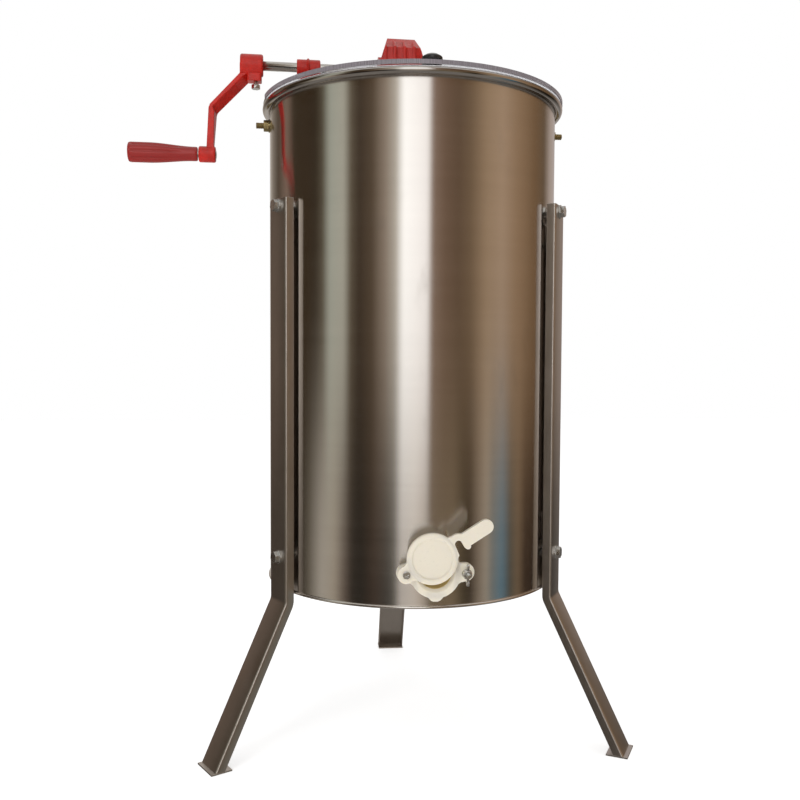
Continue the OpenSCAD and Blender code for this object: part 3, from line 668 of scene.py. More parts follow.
class EXTRACTOR_OT_legs(bpy.types.Operator):
    """Build the three folded legs and their foot plates"""

    bl_idname = "extractor.legs"
    bl_label = "Legs"

    def execute(self, context):
        legs = context.scene.extractor_legs
        for name, angle in zip(("leg_left", "leg_right", "leg_rear"), LEG_ANGLES):
            leg = self.leg(legs, angle)
            leg.piece(name + "_folded", "leg_steel", "tank", (name,), bevel=0.5)
        feet = Shape()
        for angle in LEG_ANGLES:
            feet.block((27, 41, 2), rot(angle) @ at(FOOT_OUT, 0, 1))
        feet.piece("foot_plates_welded", "leg_steel", "tank", ("foot_plates",), bevel=0.5)
        return {"FINISHED"}

    def leg(self, legs, angle):
        """A channel drawn down from its top, bent outwards and cut off level at the foot."""
        shape = Shape()
        bm = shape.bm
        half, corner, bend_r = legs.width / 2, legs.corner, 12
        section = [(LEG_FACE - legs.depth, -half),
                   *arc(LEG_FACE - corner, corner - half, corner, -90, 0, 5),
                   *arc(LEG_FACE - corner, half - corner, corner, 0, 90, 5),
                   (LEG_FACE - legs.depth, half)]
        verts = [bm.verts.new((x, y, LEG.hi.z)) for x, y in section]
        edges = [bm.edges.new(pair) for pair in zip(verts, verts[1:])]
        bend_z = 190 + bend_r * sin(legs.splay / 2) / cos(legs.splay / 2)
        edges = self.drawn(bm, edges, Vector((0, 0, bend_z - LEG.hi.z)))
        last = bmesh.ops.spin(
            bm, geom=edges + list({v for e in edges for v in e.verts}),
            cent=(LEG_FACE + bend_r, 0, bend_z), axis=(0, -1, 0), angle=legs.splay, steps=8,
            use_merge=False)["geom_last"]
        edges = [g for g in last if isinstance(g, bmesh.types.BMEdge)]
        self.drawn(bm, edges, Vector((sin(legs.splay), 0, -cos(legs.splay))) * 240)
        bmesh.ops.remove_doubles(bm, verts=bm.verts, dist=0.01)
        bmesh.ops.bisect_plane(bm, geom=bm.verts[:] + bm.edges[:] + bm.faces[:],
                               plane_co=(0, 0, 2), plane_no=(0, 0, 1), clear_inner=True)
        bmesh.ops.recalc_face_normals(bm, faces=bm.faces)
        widest = max(bm.faces, key=lambda f: f.calc_area())
        if widest.normal.x < 0:
            bmesh.ops.reverse_faces(bm, faces=bm.faces)
        bmesh.ops.solidify(bm, geom=bm.faces[:], thickness=legs.sheet)
        bmesh.ops.recalc_face_normals(bm, faces=bm.faces)
        bmesh.ops.transform(bm, matrix=rot(angle), verts=bm.verts)
        return shape

    def drawn(self, bm, edges, way):
        """Draws a row of edges out along a line and returns the edges at its end."""
        out = bmesh.ops.extrude_edge_only(bm, edges=edges)["geom"]
        ends = [g for g in out if isinstance(g, bmesh.types.BMVert)]
        bmesh.ops.translate(bm, verts=ends, vec=way)
        return [e for e in out if isinstance(e, bmesh.types.BMEdge)
                and all(v in ends for v in e.verts)]


class EXTRACTOR_OT_leg_fixings(bpy.types.Operator):
    """Build the brackets, bolts, washers and nuts that hold the legs"""

    bl_idname = "extractor.leg_fixings"
    bl_label = "Leg fixings"

    def execute(self, context):
        eased("leg_brackets", "leg_steel", "tank", 0.5, 2)
        bolts, nuts, wall_bolts = Shape(), Shape(), Shape()
        for angle in LEG_ANGLES:
            for z, side in ((UPPER_BOLT_Z, -1), (LOWER_BOLT_Z, 1)):
                turn = rot(angle * 7)
                place = outward(angle, z, LEG_FACE)
                bolts.rod(8.5, 1.6, place, 40)
                bolts.hexagon(13, 5.3, place @ at(0, 0, 1.6) @ turn)
                bolts.turned(thread(4, 11), place @ rot(pi, "X"), 24)
                nuts.hexagon(13, 6, outward(angle, z, LEG_FACE - 4) @ rot(pi, "X"))
                place = outward(angle, z + side * WALL_BOLT_SHIFT, 0)
                wall_bolts.rod(5.5, 2.6, place @ at(0, 0, 186.7), 32, top=5.1)
                wall_bolts.hexagon(10, 4.6, place @ at(0, 0, 192.7) @ turn)
                wall_bolts.turned(thread(3, 12, 1), place @ at(0, 0, 189.3), 24)
        bolts.piece("leg_bolts_hex", "zinc", "tank", ("leg_bolts",), bevel=0.35)
        nuts.piece("leg_nuts_hex", "zinc", "tank", ("leg_nuts",), bevel=0.3)
        wall_bolts.piece("bracket_bolts_hex", "zinc", "tank", ("bracket_bolts",), bevel=0.25)
        return {"FINISHED"}


class EXTRACTOR_OT_crossbar(bpy.types.Operator):
    """Build the crossbar and the bolts that hold it to the rim"""

    bl_idname = "extractor.crossbar"
    bl_label = "Crossbar"

    def execute(self, context):
        eased("crossbar", "bar_steel", "tank", 0.5, 2)
        z = Room("crossbar_nuts").mid.z
        bolts, nuts = Shape(), Shape()
        for angle in (0, pi):
            bolts.hexagon(13, 5, outward(angle, z, 186) @ rot(pi, "X"))
            bolts.turned(thread(4, 22.5), outward(angle, z, 186), 32)
            nuts.rod(8.5, 1.6, outward(angle, z, 190.6), 40)
            nuts.hexagon(13, 6.5, outward(angle, z, 192.2) @ rot(angle + 0.3))
        bolts.piece("crossbar_bolts_hex", "yellow_zinc", "tank", ("crossbar_bolts",), bevel=0.2)
        nuts.piece("crossbar_nuts_hex", "yellow_zinc", "tank", ("crossbar_nuts",), bevel=0.35)
        return {"FINISHED"}


class EXTRACTOR_OT_bearing(bpy.types.Operator):
    """Build the cast bearing that carries the crank shaft over the rim"""

    bl_idname = "extractor.bearing"
    bl_label = "Shaft bearing"

    def execute(self, context):
        room = Room("shaft_bearing")
        x0, length = room.lo.x, room.size.x
        sleeve = [(6.05, 0), (9.7, 0), (10.6, 0.9), (10.6, 12.9), (12.3, 14.4), (12.3, 15.4),
                  (10.6, 16.9), (10.6, length - 0.9), (9.7, length), (6.05, length)]
        foot = rounded_outline(length, 50, 6)
        casting = Shape()
        casting.turned(sleeve, along_x(x0, SHAFT_Z), 64, closed=True)
        middle = x0 + length / 2
        casting.plate([foot], 5, at(middle, 0, BAR_TOP))
        web = [(-9, 3), (9, 3), (6.5, 14), (6.5, SHAFT_Z - BAR_TOP - 7),
               (-6.5, SHAFT_Z - BAR_TOP - 7), (-6.5, 14)]
        casting.plate([web], length - 10, at(x0 + 5, 0, BAR_TOP)
                      @ rot(pi / 2) @ rot(pi / 2, "X"))
        casting.piece("shaft_bearing_cast", "red_paint", "tank", ("shaft_bearing",), bevel=0.8)
        screws = Shape()
        for side in (-1, 1):
            pan_head(screws, 5.4, at(middle, side * 18, BAR_TOP + 5) @ rot(0.5))
        screws.piece("bearing_screws_pan", "zinc", "tank", ("bearing_screws",), bevel=0.1)
        return {"FINISHED"}


def rounded_outline(width, height, corner):
    """Corners of a rounded rectangle about the origin."""
    x, y = width / 2 - corner, height / 2 - corner
    return [*arc(x, y, corner, 0, 90, 6), *arc(-x, y, corner, 90, 180, 6),
            *arc(-x, -y, corner, 180, 270, 6), *arc(x, -y, corner, 270, 360, 6)]


class EXTRACTOR_OT_gearbox(bpy.types.Operator):
    """Build the gear frame, its ribbed hood, the bevel gears and the crank shaft"""

    bl_idname = "extractor.gearbox"
    bl_label = "Gearbox"

    def execute(self, context):
        eased("gear_frame", "red_paint", "tank", 0.9, 2)
        eased("gear_hood", "red_paint", "tank", 0.8, 2)
        for node, radius in (("gear_frame_screws", 5.4), ("hood_screws", 2.88)):
            room = Room(node)
            screws = Shape()
            top = room.hi.z - radius / 1.8 * 1.1
            for x in (room.lo.x + radius, room.hi.x - radius):
                for y in (room.lo.y + radius, room.hi.y - radius):
                    pan_head(screws, radius, at(x, y, top) @ rot(x))
            screws.piece(node + "_pan", "zinc", "tank", (node,), bevel=0.08)
        for node in ("drive_gear", "crank_shaft"):
            eased(node, "shaft_steel", "crank", 0.25)
        eased("shaft_collar", "zinc", "crank", 0.4, 2)
        eased("pinion", "shaft_steel", "basket", 0.2)
        eased("top_bush", "nylon", "tank", 0.5, 2)
        eased("bottom_cup", "nylon", "tank", 0.5, 2)
        return {"FINISHED"}


class EXTRACTOR_OT_crank(bpy.types.Operator):
    """Build the cast crank arm, its set bolt, and the fluted grip on its pin"""

    bl_idname = "extractor.crank"
    bl_label = "Crank"

    def execute(self, context):
        grip_z = GRIP.mid.z
        hub_x, boss_x, lug_x, bolt_x = -229, -283, -210.5, -208.8
        arm = Shape()
        hub = [(6, 1), (12.6, 0), (14.3, 1.6), (14.3, 28.2), (12.9, 30), (6, 29.6)]
        arm.turned(hub, along_x(hub_x, SHAFT_Z), 64, closed=True)
        boss = [(3.9, 0), (9.2, 0), (10.4, 1.3), (10.4, 20.6), (9.2, 22), (3.9, 22)]
        arm.turned(boss, along_x(boss_x, grip_z), 48, closed=True)
        arm.plate([rounded_outline(19, 16, 2.5)], 15, at(lug_x, 0, SHAFT_Z - 21.4))
        slope = [(-229.5, SHAFT_Z + 2), (-229.5, SHAFT_Z - 12), (-268, SHAFT_Z - 53.5),
                 (-269.8, SHAFT_Z - 58), (-272.8, grip_z + 6), (-272.5, grip_z),
                 (-262.5, grip_z), (-263.2, grip_z + 12), (-259.8, SHAFT_Z - 66),
                 (-258.4, SHAFT_Z - 62.5), (-219, SHAFT_Z - 22), (-212, SHAFT_Z - 8)]
        arm.plate([slope], 14, to_front(0, 7, 0))
        for v in arm.bm.verts:
            for (x, z), shift in zip(slope[8:11], (2.6, 6.0, 6.2)):
                if v.co.y < -6.9 and hypot(v.co.x - x, v.co.z - z) < 0.1:
                    v.co += Vector((-shift, 0, shift))
                    break
        arm.piece("crank_arm_cast", "red_paint", "crank", ("crank_arm",), bevel=1.3, segments=3)
        bolt = Shape()
        down = at(bolt_x, 0, SHAFT_Z - 25) @ rot(pi, "X")
        bolt.hexagon(10, 5.5, down @ rot(0.35))
        bolt.turned(thread(3, 17, 1), at(bolt_x, 0, SHAFT_Z - 25), 24)
        bolt.piece("crank_set_bolt_hex", "zinc", "crank", ("crank_set_bolt",), bevel=0.3)
        pin = Shape()
        room = Room("grip_pin")
        pin.rod(4, room.size.x - 2, along_x(room.lo.x + 1, grip_z))
        pin.turned([(0, 0), (5.4, 0), (6.5, 0.8), (6.5, 2.3), (0, 2.3)],
                   along_x(room.lo.x, grip_z), 32)
        pin.turned([(0, 0), (5.5, 0), (5, 0.7), (3, 1), (0, 1)],
                   along_x(room.hi.x - 1, grip_z), 32)
        pin.piece("grip_pin_turned", "zinc", "crank", ("grip_pin",), bevel=0.2)
        self.grip(grip_z)
        return {"FINISHED"}

    def grip(self, grip_z):
        """A turned grip whose lengthwise flutes run out towards the crank, round a sunk pin."""
        length = GRIP.size.x
        flutes = 8
        outline = [(4.05, 3.8), (7, 3.8), (7, 0), (10.4, 0), (12.1, 0.7), (12.8, 2.2)]
        outline += [(13 - 3.8 * smooth((h - 26) / (length - 30)), h)
                    for h in range(4, int(length) - 3, 3)]
        outline += [(9.2, length - 2.4), (8.9, length - 0.9), (8.2, length), (4.05, length)]
        grip = Shape().turned(outline, steps=flutes * 18, closed=True)
        for v in grip.bm.verts:
            radius = hypot(v.co.x, v.co.y)
            turn = atan2(v.co.y, v.co.x)
            run = smooth((v.co.z - 1.5) / 6) * (1 - smooth((v.co.z - 50) / 28))
            cut = 1.5 * (0.5 + 0.5 * cos(flutes * turn)) ** 3 * run
            if radius > 9:
                v.co.xy *= (radius - cut) / radius
        bmesh.ops.transform(grip.bm, matrix=along_x(GRIP.lo.x, grip_z), verts=grip.bm.verts)
        grip.piece("crank_grip_fluted", "grip_plastic", "grip", ("crank_grip",), sharp=50)


def smooth(share):
    """A smooth step from 0 to 1."""
    share = min(1.0, max(0.0, share))
    return share * share * (3 - 2 * share)


class EXTRACTOR_OT_basket(bpy.types.Operator):
    """Build the wire basket on its spindle"""

    bl_idname = "extractor.basket"
    bl_label = "Basket"

    def execute(self, context):
        eased("spindle", "shaft_steel", "basket", 0.3)
        for node in ("top_spider", "bottom_spider", "cage_long_bars", "cage_end_bars"):
            eased(node, "basket_steel", "basket", 0.35, 2)
        rods = Shape()
        room = Room("cage_rods")
        for x in (room.lo.x + 2.5, room.hi.x - 2.5):
            for y in (room.lo.y + 2.5, -68, 68, room.hi.y - 2.5):
                rods.rod(2.5, room.size.z, at(x, y, room.lo.z), 20)
        rods.piece("cage_rods_drawn", "basket_steel", "basket", ("cage_rods",))
        rests = Shape()
        room = Room("frame_rests")
        for y in (-115, 66.6):
            for x in (-84, -28, 28, 84):
                rests.rod(2, 48.4, at(x, y, room.mid.z) @ rot(-pi / 2, "X"), 16)
        rests.piece("frame_rests_drawn", "basket_steel", "basket", ("frame_rests",))
        for node in ("outer_screens", "inner_screens"):
            self.screens(node)
        eased("thrust_ball", "zinc", "tank", 0.0)
        return {"FINISHED"}

    def screens(self, node):
        """Screens of crossed wires in a flat border, one on each side of the spindle."""
        room = Room(node)
        pitch = 12.0
        wire = Shape()
        for side in (-1, 1):
            y = side * (room.hi.y - 0.7)
            columns = round(room.size.x / pitch)
            rows = round(room.size.z / pitch)
            for i in range(1, columns):
                wire.rod(0.6, room.size.z - 2, at(room.lo.x + i * room.size.x / columns,
                                                  y - side * 0.35, room.lo.z + 1), 6)
            for k in range(1, rows):
                z = room.lo.z + k * room.size.z / rows
                wire.rod(0.6, room.size.x - 2, along_x(room.lo.x + 1, z, y + side * 0.35), 6)
            for x in (room.lo.x + 1, room.hi.x - 1):
                wire.block((2, 1.4, room.size.z), at(x, y, room.mid.z))
            for z in (room.lo.z + 1, room.hi.z - 1):
                wire.block((room.size.x, 1.4, 2), at(room.mid.x, y, z))
        wire.piece(node + "_wire", "basket_steel", "basket", (node,), sharp=60)


class EXTRACTOR_OT_lids(bpy.types.Operator):
    """Build the two clear half lids with their knobs and hinges"""

    bl_idname = "extractor.lids"
    bl_label = "Lids"

    def execute(self, context):
        for side, body in ((1, "front_lid"), (-1, "rear_lid")):
            turn = rot(0 if side > 0 else pi)
            edge, radius = 37.2, 200.0
            start = degrees(atan2(edge, (radius ** 2 - edge ** 2) ** 0.5))
            rim = arc(0, 0, radius, 180 + start, 360 - start, 200)
            holes = [arc(x, -edge - 12, 2, 0, 330, 11) for x in HINGE_HOLES_X]
            holes.append(arc(0, KNOB_Y, 2.5, 0, 330, 11))
            # A hair of air is left under the hinge leaves, so that they show through the sheet
            sheet = Shape().plate([rim, *holes], LID_TOP - LID_UNDER - 0.06,
                                  turn @ at(0, 0, LID_UNDER))
            sheet.piece(body + "_sheet", "clear_lid", body, (body,), sharp=30)
            self.knob(body, turn)
            eased(body + "_leaves", "bar_steel", body, 0.25)
        eased("hinge_fixed_leaves", "bar_steel", "tank", 0.2)
        eased("hinge_pins", "zinc", "tank", 0.2)
        screws = Shape()
        for side in (-1, 1):
            for x in HINGE_HOLES_X:
                pan_head(screws, 3.6, at(x, side * 23.5, BAR_TOP + 1.2)
                         @ rot(x))
        screws.piece("hinge_screws_pan", "zinc", "tank", ("hinge_screws",), bevel=0.08)
        return {"FINISHED"}

    def knob(self, body, turn):
        place = turn @ at(0, KNOB_Y, 0)
        dome = [(0, 0), (8, 0), (8, 6.3), (10.8, 7.8), (12.0, 9.2), (12.4, 10.4), (12.4, 12.6),
                (12.0, 13.6), (10.4, 14.7), (9.3, 15.0), (0, 15.0)]
        knob = Shape().turned(dome, place @ at(0, 0, LID_TOP), 64)
        knob.rod(2.45, 5.1, place @ at(0, 0, LID_UNDER - 0.05), 20)
        knob.rod(5, 2.4, place @ at(0, 0, LID_UNDER - 2.4), 32)
        knob.piece(body + "_knob_turned", "knob_plastic", body, (body + "_knob",), sharp=45)
        cap = [(0, 14.7), (9.0, 14.7), (9.0, 15.2), (7.6, 16.4), (5.2, 17.3), (2.5, 17.9), (0, 18)]
        Shape().turned(cap, place @ at(0, 0, LID_TOP), 48).piece(
            body + "_knob_cap", "zinc", body, finish_name="knob_cap", sharp=60)


class EXTRACTOR_OT_gate(bpy.types.Operator):
    """Build the honey gate: its body, flap, pivot screw, stud and wing nut"""

    bl_idname = "extractor.gate"
    bl_label = "Honey gate"

    def execute(self, context):
        self.body()
        self.flap(radians(30))
        eased("gate_gasket", "gasket_rubber", "tank", 0.3)
        eased("gate_lock_nut", "gate_plastic", "tank", 0.8, 2)
        front = FLAP_FRONT - 0.4
        screw = pan_head(Shape(), 4.4, to_front(-EAR_X, front, GATE_Z)
                         @ rot(0.5))
        screw.rod(2.5, GATE_BOLTS_Y - front, to_front(-EAR_X, GATE_BOLTS_Y, GATE_Z))
        screw.piece("gate_pivot_screw_cross", "zinc", "tank", ("gate_pivot_screw",), bevel=0.1)
        stud = Shape().turned(thread(2.5, 30, 0.8), to_front(EAR_X, GATE_BOLTS_Y, GATE_Z), 24)
        stud.hexagon(8, 3, to_front(EAR_X, -204, GATE_Z))
        stud.piece("gate_stud_threaded", "zinc", "tank", ("gate_stud",), sharp=60)
        self.wing_nut()
        return {"FINISHED"}

    def body(self):
        """A moulded flange with two ears, a drip lip and a spout through the drum's wall."""
        face = GATE.lo.y
        gate = Shape()
        ring = [(19, 3.6), (21.8, 0.7), (22.8, 0), (29.5, 0), (29.5, 8), (19, 8)]
        gate.turned(ring, to_front(0, face + 8, GATE_Z) @ at(0, 0, 8)
                    @ rot(pi, "X"), 128, closed=True)
        spout = [(19, 0), (22.4, 0), (23, 0.6), (23, 20), (29.5, 20), (29.5, 23.4), (25.5, 23.4),
                 (25.5, 34), (19, 34)]
        gate.turned(spout, to_front(0, SPOUT_END_Y, GATE_Z), 96, closed=True)
        for side in (-1, 1):
            ear = [(side * x, y) for x, y in
                   ((22, 13), (27, 10.6), *arc(EAR_X, 0, 10.4, 80, -84, 18), (29, -11.6),
                    (25, -14.6), (20, -21), (24, 0))]
            gate.plate([ear], 7.9, to_front(0, face + 7.95, GATE_Z))
        lip = [(-12.5, -23.4), (-8.8, -28.2), (-6.6, -30.6), (-5.2, -32), (-2.6, -33), (2.6, -33),
               (5.2, -32), (6.6, -30.6), (8.8, -28.2), (12.5, -23.4)]
        gate.plate([lip], 7.8, to_front(0, face + 7.9, GATE_Z))
        gate.piece("gate_body_moulded", "gate_plastic", "tank", ("gate_body",), bevel=1.0,
                   segments=3)

        # A thin lining on the spout's inner wall carries the bore's painted shade and painted glow
        bore = Shape().turned([(18.75, 3.7), (19.05, 3.7), (19.05, 33), (18.75, 33)],
                              to_front(0, SPOUT_END_Y, GATE_Z) @ at(0, 0, 41)
                              @ rot(pi, "X"), 96, closed=True)
        bore.piece("gate_bore", "gate_plastic", "tank", finish_name="gate_bore")

    def flap(self, open_by):
        """A disc with a raised rim, a pivot ear, and a hooked paddle that locks on the stud."""
        back = Room("gate_flap").hi.y
        place = at(-EAR_X, back, GATE_Z) @ rot(-open_by, "Y") @ rot(pi / 2, "X")
        reach, centre = 2 * EAR_X, EAR_X
        flap = Shape()
        disc = [(0, 0), (28.9, 0), (29.6, 0.9), (29.6, 4.5), (29.2, 5.4), (28.2, 6.0),
                (24.4, 6.0), (23.6, 5.7), (23.0, 4.6), (22.4, 4.1), (21.6, 4.0), (0, 4.0)]
        flap.turned(disc, place @ at(centre, 0, 0), 128)
        ear = [*arc(0, 0, 10.2, 74, 286, 26), (7.5, -12.0), (11, -16.2), (13, -15), (9.4, 0),
               (13, 15), (11, 16.2), (7.5, 12.0)]
        flap.plate([ear], 5.9, place)
        hook = [(centre + 18.8, 19.0), (centre + 24.2, 11.6), (centre + 26.7, 2),
                (centre + 26.2, -7), (centre + 21.8, -16.4), (reach - 9.6, -14.6),
                (reach - 6, -12.1), (reach - 5.2, -6), *arc(reach - 0.5, -0.5, 4.2, 180, 0, 12),
                (reach + 3.7, -5), (reach + 3.8, -8), (reach + 5, -10.6), (reach + 7.4, -12),
                (reach + 9.8, -11.4), (reach + 11.2, -9),
                *arc(reach + 37, 0.3, 8.4, -88, 88, 16), (reach + 9.5, 7.9),
                *arc(reach, 0, 11.3, 48, 104, 8), (reach - 7.5, 12.2), (reach - 11, 15.6),
                (reach - 14.6, 19.4)]
        flap.plate([hook], 5.86, place)
        flap.piece("gate_flap_moulded", "gate_plastic", "flap", ("gate_flap",), bevel=0.9,
                   segments=3)

    def wing_nut(self):
        """A pressed wing nut with its wings nearly upright."""
        room = Room("wing_nut")
        place = to_front(EAR_X, room.hi.y, GATE_Z)
        nut = Shape()
        sleeve = [(2.6, 0), (6.0, 0), (5.9, 2), (5.0, 6.4), (4.5, 7), (2.6, 7)]
        nut.turned(sleeve, place, 40, closed=True)
        wing = [(3.2, 1.0), (6.5, 1.2), (9.6, 2.6), *arc(9.8, 6.4, 3.0, -60, 120, 8),
                (7.2, 7.8), (4.8, 6.4), (3.0, 6.2)]
        for side in (0, pi):
            nut.plate([wing], 2.8, place @ rot(side) @ rot(pi / 2) @ rot(pi / 2, "X")
                      @ at(0, 0, -1.4))
        nut.piece("wing_nut_pressed", "zinc", "wing", ("wing_nut",), bevel=0.5, segments=3)


# ---- the studio ----

CAMERA_SPOT = (-0.16853, -1.19884, 0.48969)
CAMERA_TURN = -7.945
CAMERA_YAW, CAMERA_PITCH, CAMERA_ROLL = -0.0110, -0.0443, -0.0050

# What the steel reflects at each turn in degrees to the right of the camera, high up
ROOM_HIGH = [
    (-180, (0.50, 0.46, 0.46)), (-165, (0.60, 0.55, 0.50)), (-148, (0.26, 0.22, 0.18)),
    (-132, (0.09, 0.065, 0.045)), (-116, (0.24, 0.17, 0.13)), (-106, (0.05, 0.035, 0.02)),
    (-90, (0.045, 0.028, 0.014)), (-80, (0.035, 0.022, 0.010)), (-73, (0.10, 0.08, 0.05)),
    (-66, (0.44, 0.46, 0.39)), (-54, (0.50, 0.49, 0.41)), (-48, (0.13, 0.10, 0.065)),
    (-41, (0.055, 0.035, 0.02)), (-30, (0.11, 0.075, 0.045)), (-20, (0.34, 0.27, 0.21)),
    (-12, (0.60, 0.55, 0.47)), (-6, (1.5, 1.5, 1.48)), (12, (1.3, 1.26, 1.24)),
    (16, (0.28, 0.19, 0.14)), (26, (0.18, 0.11, 0.07)), (36, (0.14, 0.085, 0.05)),
    (46, (0.20, 0.13, 0.075)), (60, (0.38, 0.26, 0.16)), (74, (0.46, 0.32, 0.21)),
    (90, (0.34, 0.22, 0.13)), (112, (0.21, 0.125, 0.065)), (128, (0.15, 0.10, 0.06)),
    (142, (0.44, 0.36, 0.31)), (180, (0.50, 0.46, 0.46))]
# The same near the floor
ROOM_LOW = [
    (-180, (0.50, 0.47, 0.45)), (-160, (0.52, 0.48, 0.42)), (-138, (0.05, 0.035, 0.025)),
    (-116, (0.05, 0.035, 0.025)), (-98, (0.02, 0.015, 0.01)), (-88, (0.14, 0.12, 0.09)),
    (-74, (0.46, 0.42, 0.36)), (-62, (0.38, 0.32, 0.25)), (-54, (0.13, 0.09, 0.07)),
    (-46, (0.02, 0.015, 0.01)), (-38, (0.012, 0.01, 0.006)), (-28, (0.035, 0.02, 0.012)),
    (-17, (0.015, 0.014, 0.012)), (-12, (0.06, 0.055, 0.045)), (-7, (0.46, 0.41, 0.36)),
    (3, (0.58, 0.51, 0.43)), (9, (0.44, 0.36, 0.28)), (15, (0.18, 0.14, 0.09)),
    (34, (0.20, 0.15, 0.09)), (42, (0.06, 0.045, 0.022)), (48, (0.025, 0.017, 0.008)),
    (55, (0.20, 0.16, 0.12)), (62, (0.34, 0.30, 0.24)), (68, (0.16, 0.19, 0.19)),
    (77, (0.08, 0.19, 0.26)), (86, (0.06, 0.065, 0.055)), (95, (0.16, 0.11, 0.065)),
    (104, (0.035, 0.02, 0.012)), (130, (0.01, 0.009, 0.007)), (152, (0.22, 0.20, 0.18)),
    (180, (0.50, 0.47, 0.45))]


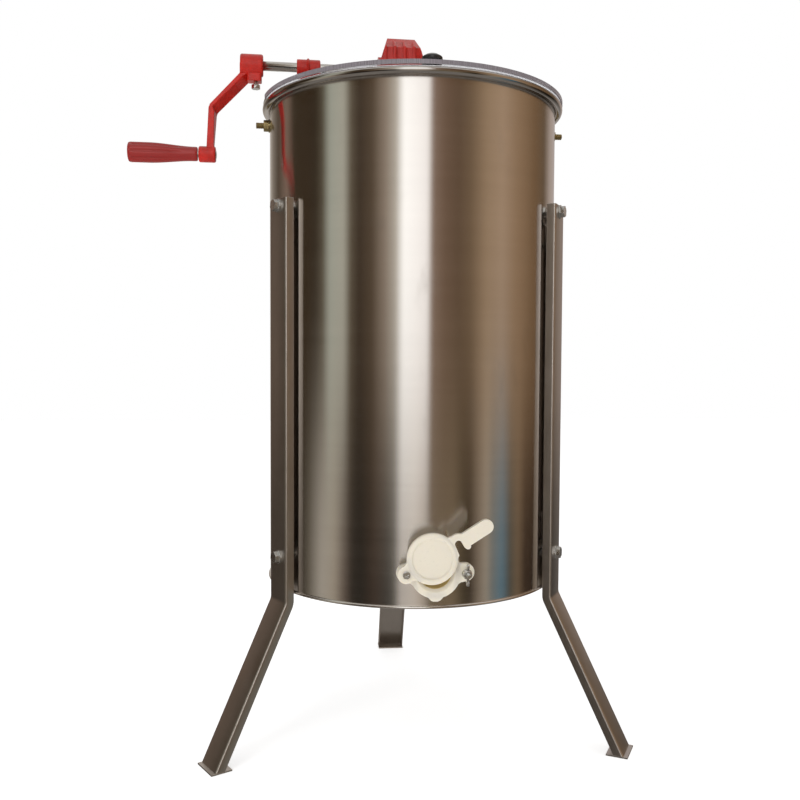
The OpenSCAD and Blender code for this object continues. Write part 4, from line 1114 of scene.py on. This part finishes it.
class EXTRACTOR_OT_stage(bpy.types.Operator):
    """Set up the floor, the light and the camera"""

    bl_idname = "extractor.stage"
    bl_label = "Stage"

    def execute(self, context):
        self.floor()
        self.room(context.scene)
        self.lamps(context.scene)
        self.camera(context.scene)
        context.scene.view_settings.view_transform = "Standard"
        return {"FINISHED"}

    def floor(self):
        bm = bmesh.new()
        bmesh.ops.create_grid(bm, x_segments=1, y_segments=1, size=6)
        bmesh.ops.translate(bm, verts=bm.verts, vec=(0, 0, -0.0004))
        mesh = bpy.data.meshes.new("floor")
        bm.to_mesh(mesh)
        bm.free()
        floor = linked("floor", mesh)

        def pale(tree):
            clouds = tree.noise(3, 3, 0.5)
            return {"Base Color": tree.blend(clouds, (0.86, 0.86, 0.86), (0.90, 0.90, 0.895)),
                    "Roughness": 0.7 + clouds * 0.1, "Emission Color": (1.0, 1.0, 1.0, 1.0),
                    "Emission Strength": 0.66}

        mesh.materials.append(finish("floor_pale", pale))
        floor.visible_glossy = False

    def room(self, scene):
        """Light from all round: banded where steel reflects it, plain everywhere else."""
        world = bpy.data.worlds.new("studio")
        world.use_nodes = True
        scene.world = world
        tree = Tree(world.node_tree)
        way = tree.node("TexCoord", out="Generated")
        parts = tree.node("SeparateXYZ", None, {0: way})
        y, up = parts.other("Y"), parts.other("Z")
        ahead = radians(CAMERA_TURN - 90)
        turn = parts.maths("ARCTAN2", parts * -sin(ahead) + y * cos(ahead),
                           parts * cos(ahead) + y * sin(ahead)) / (2 * pi) + 0.5
        high, low = (tree.node("ValToRGB",
                               {"stops": [(0.5 + a / 360, colour) for a, colour in bands]},
                               {0: turn}) for bands in (ROOM_HIGH, ROOM_LOW))
        walls = tree.blend(up.step(-0.20, 0.02), low, high)
        walls = tree.blend(up.step(0.52, 0.85), walls, (0.70, 0.68, 0.65))
        walls = tree.blend(up.step(-0.35, -0.75), walls, (0.24, 0.22, 0.20))
        path = tree.node("LightPath", out="Is Glossy Ray")
        plain = tree.blend(path.other("Is Diffuse Ray"), (1.0, 1.0, 1.0),
                           (scene.extractor_stage.room_light,) * 3)
        mirrored = path * (1 - path.other("Is Transmission Ray"))
        colour = tree.blend(mirrored, plain, walls)
        shader = tree.node("Background", None, {"Color": colour, "Strength": 1.0})
        tree.node("OutputWorld", None, {"Surface": shader})

    def lamps(self, scene):
        power = scene.extractor_stage.key_light
        for name, spot, size, share in (
                ("key", (-1.5, -2.1, 1.5), 1.0, 1.0), ("fill", (1.9, -1.7, 1.0), 1.6, 0.30),
                ("top", (0.2, 0.6, 2.8), 1.8, 0.35)):
            light = bpy.data.lights.new(name, "AREA")
            light.energy = power * share
            light.size = size
            lamp = linked(name, light)
            lamp.location = spot
            lamp.rotation_euler = (Vector((0, 0, 0.5)) - Vector(spot)).to_track_quat(
                "-Z", "Y").to_euler()
            lamp.visible_glossy = False

    def camera(self, scene):
        lens = bpy.data.cameras.new("camera")
        lens.lens = scene.extractor_stage.lens
        lens.sensor_width = 36
        lens.clip_start, lens.clip_end = 0.05, 50
        camera = linked("camera", lens)
        turn = (rot(radians(CAMERA_TURN) - CAMERA_YAW) @ rot(pi / 2 + CAMERA_PITCH, "X")
                @ rot(-CAMERA_ROLL))
        camera.matrix_world = Matrix.Translation(CAMERA_SPOT) @ turn
        scene.camera = camera


class EXTRACTOR_PT_panel(bpy.types.Panel):
    """Buttons that build the extractor, and its settings"""

    bl_label = "Honey Extractor"
    bl_idname = "EXTRACTOR_PT_panel"
    bl_space_type = "VIEW_3D"
    bl_region_type = "UI"
    bl_category = "Extractor"

    def draw(self, context):
        layout = self.layout
        for operator in STEPS:
            layout.operator(operator.bl_idname)
        for settings, _ in SETTINGS:
            group = getattr(context.scene, settings)
            for name in group.bl_rna.properties.keys():
                if name not in ("rna_type", "name"):
                    layout.prop(group, name)


STEPS = (
    EXTRACTOR_OT_finishes, EXTRACTOR_OT_drum, EXTRACTOR_OT_legs, EXTRACTOR_OT_leg_fixings,
    EXTRACTOR_OT_crossbar, EXTRACTOR_OT_bearing, EXTRACTOR_OT_gearbox, EXTRACTOR_OT_crank,
    EXTRACTOR_OT_basket, EXTRACTOR_OT_lids, EXTRACTOR_OT_gate, EXTRACTOR_OT_stage)
SETTINGS = (
    ("extractor_drum", DrumSettings), ("extractor_legs", LegSettings),
    ("extractor_paint", PaintSettings), ("extractor_stage", StageSettings))


def register():
    for name, settings in SETTINGS:
        bpy.utils.register_class(settings)
        setattr(bpy.types.Scene, name, PointerProperty(type=settings))
    for made in (*STEPS, EXTRACTOR_PT_panel):
        bpy.utils.register_class(made)


def unregister():
    for made in (EXTRACTOR_PT_panel, *reversed(STEPS)):
        bpy.utils.unregister_class(made)
    for name, settings in reversed(SETTINGS):
        delattr(bpy.types.Scene, name)
        bpy.utils.unregister_class(settings)


def main():
    register()
    bpy.ops.extractor.finishes()
    bpy.ops.extractor.drum()
    bpy.ops.extractor.legs()
    bpy.ops.extractor.leg_fixings()
    bpy.ops.extractor.crossbar()
    bpy.ops.extractor.bearing()
    bpy.ops.extractor.gearbox()
    bpy.ops.extractor.crank()
    bpy.ops.extractor.basket()
    bpy.ops.extractor.lids()
    bpy.ops.extractor.gate()
    bpy.ops.extractor.stage()


if __name__ == "__main__":
    main()
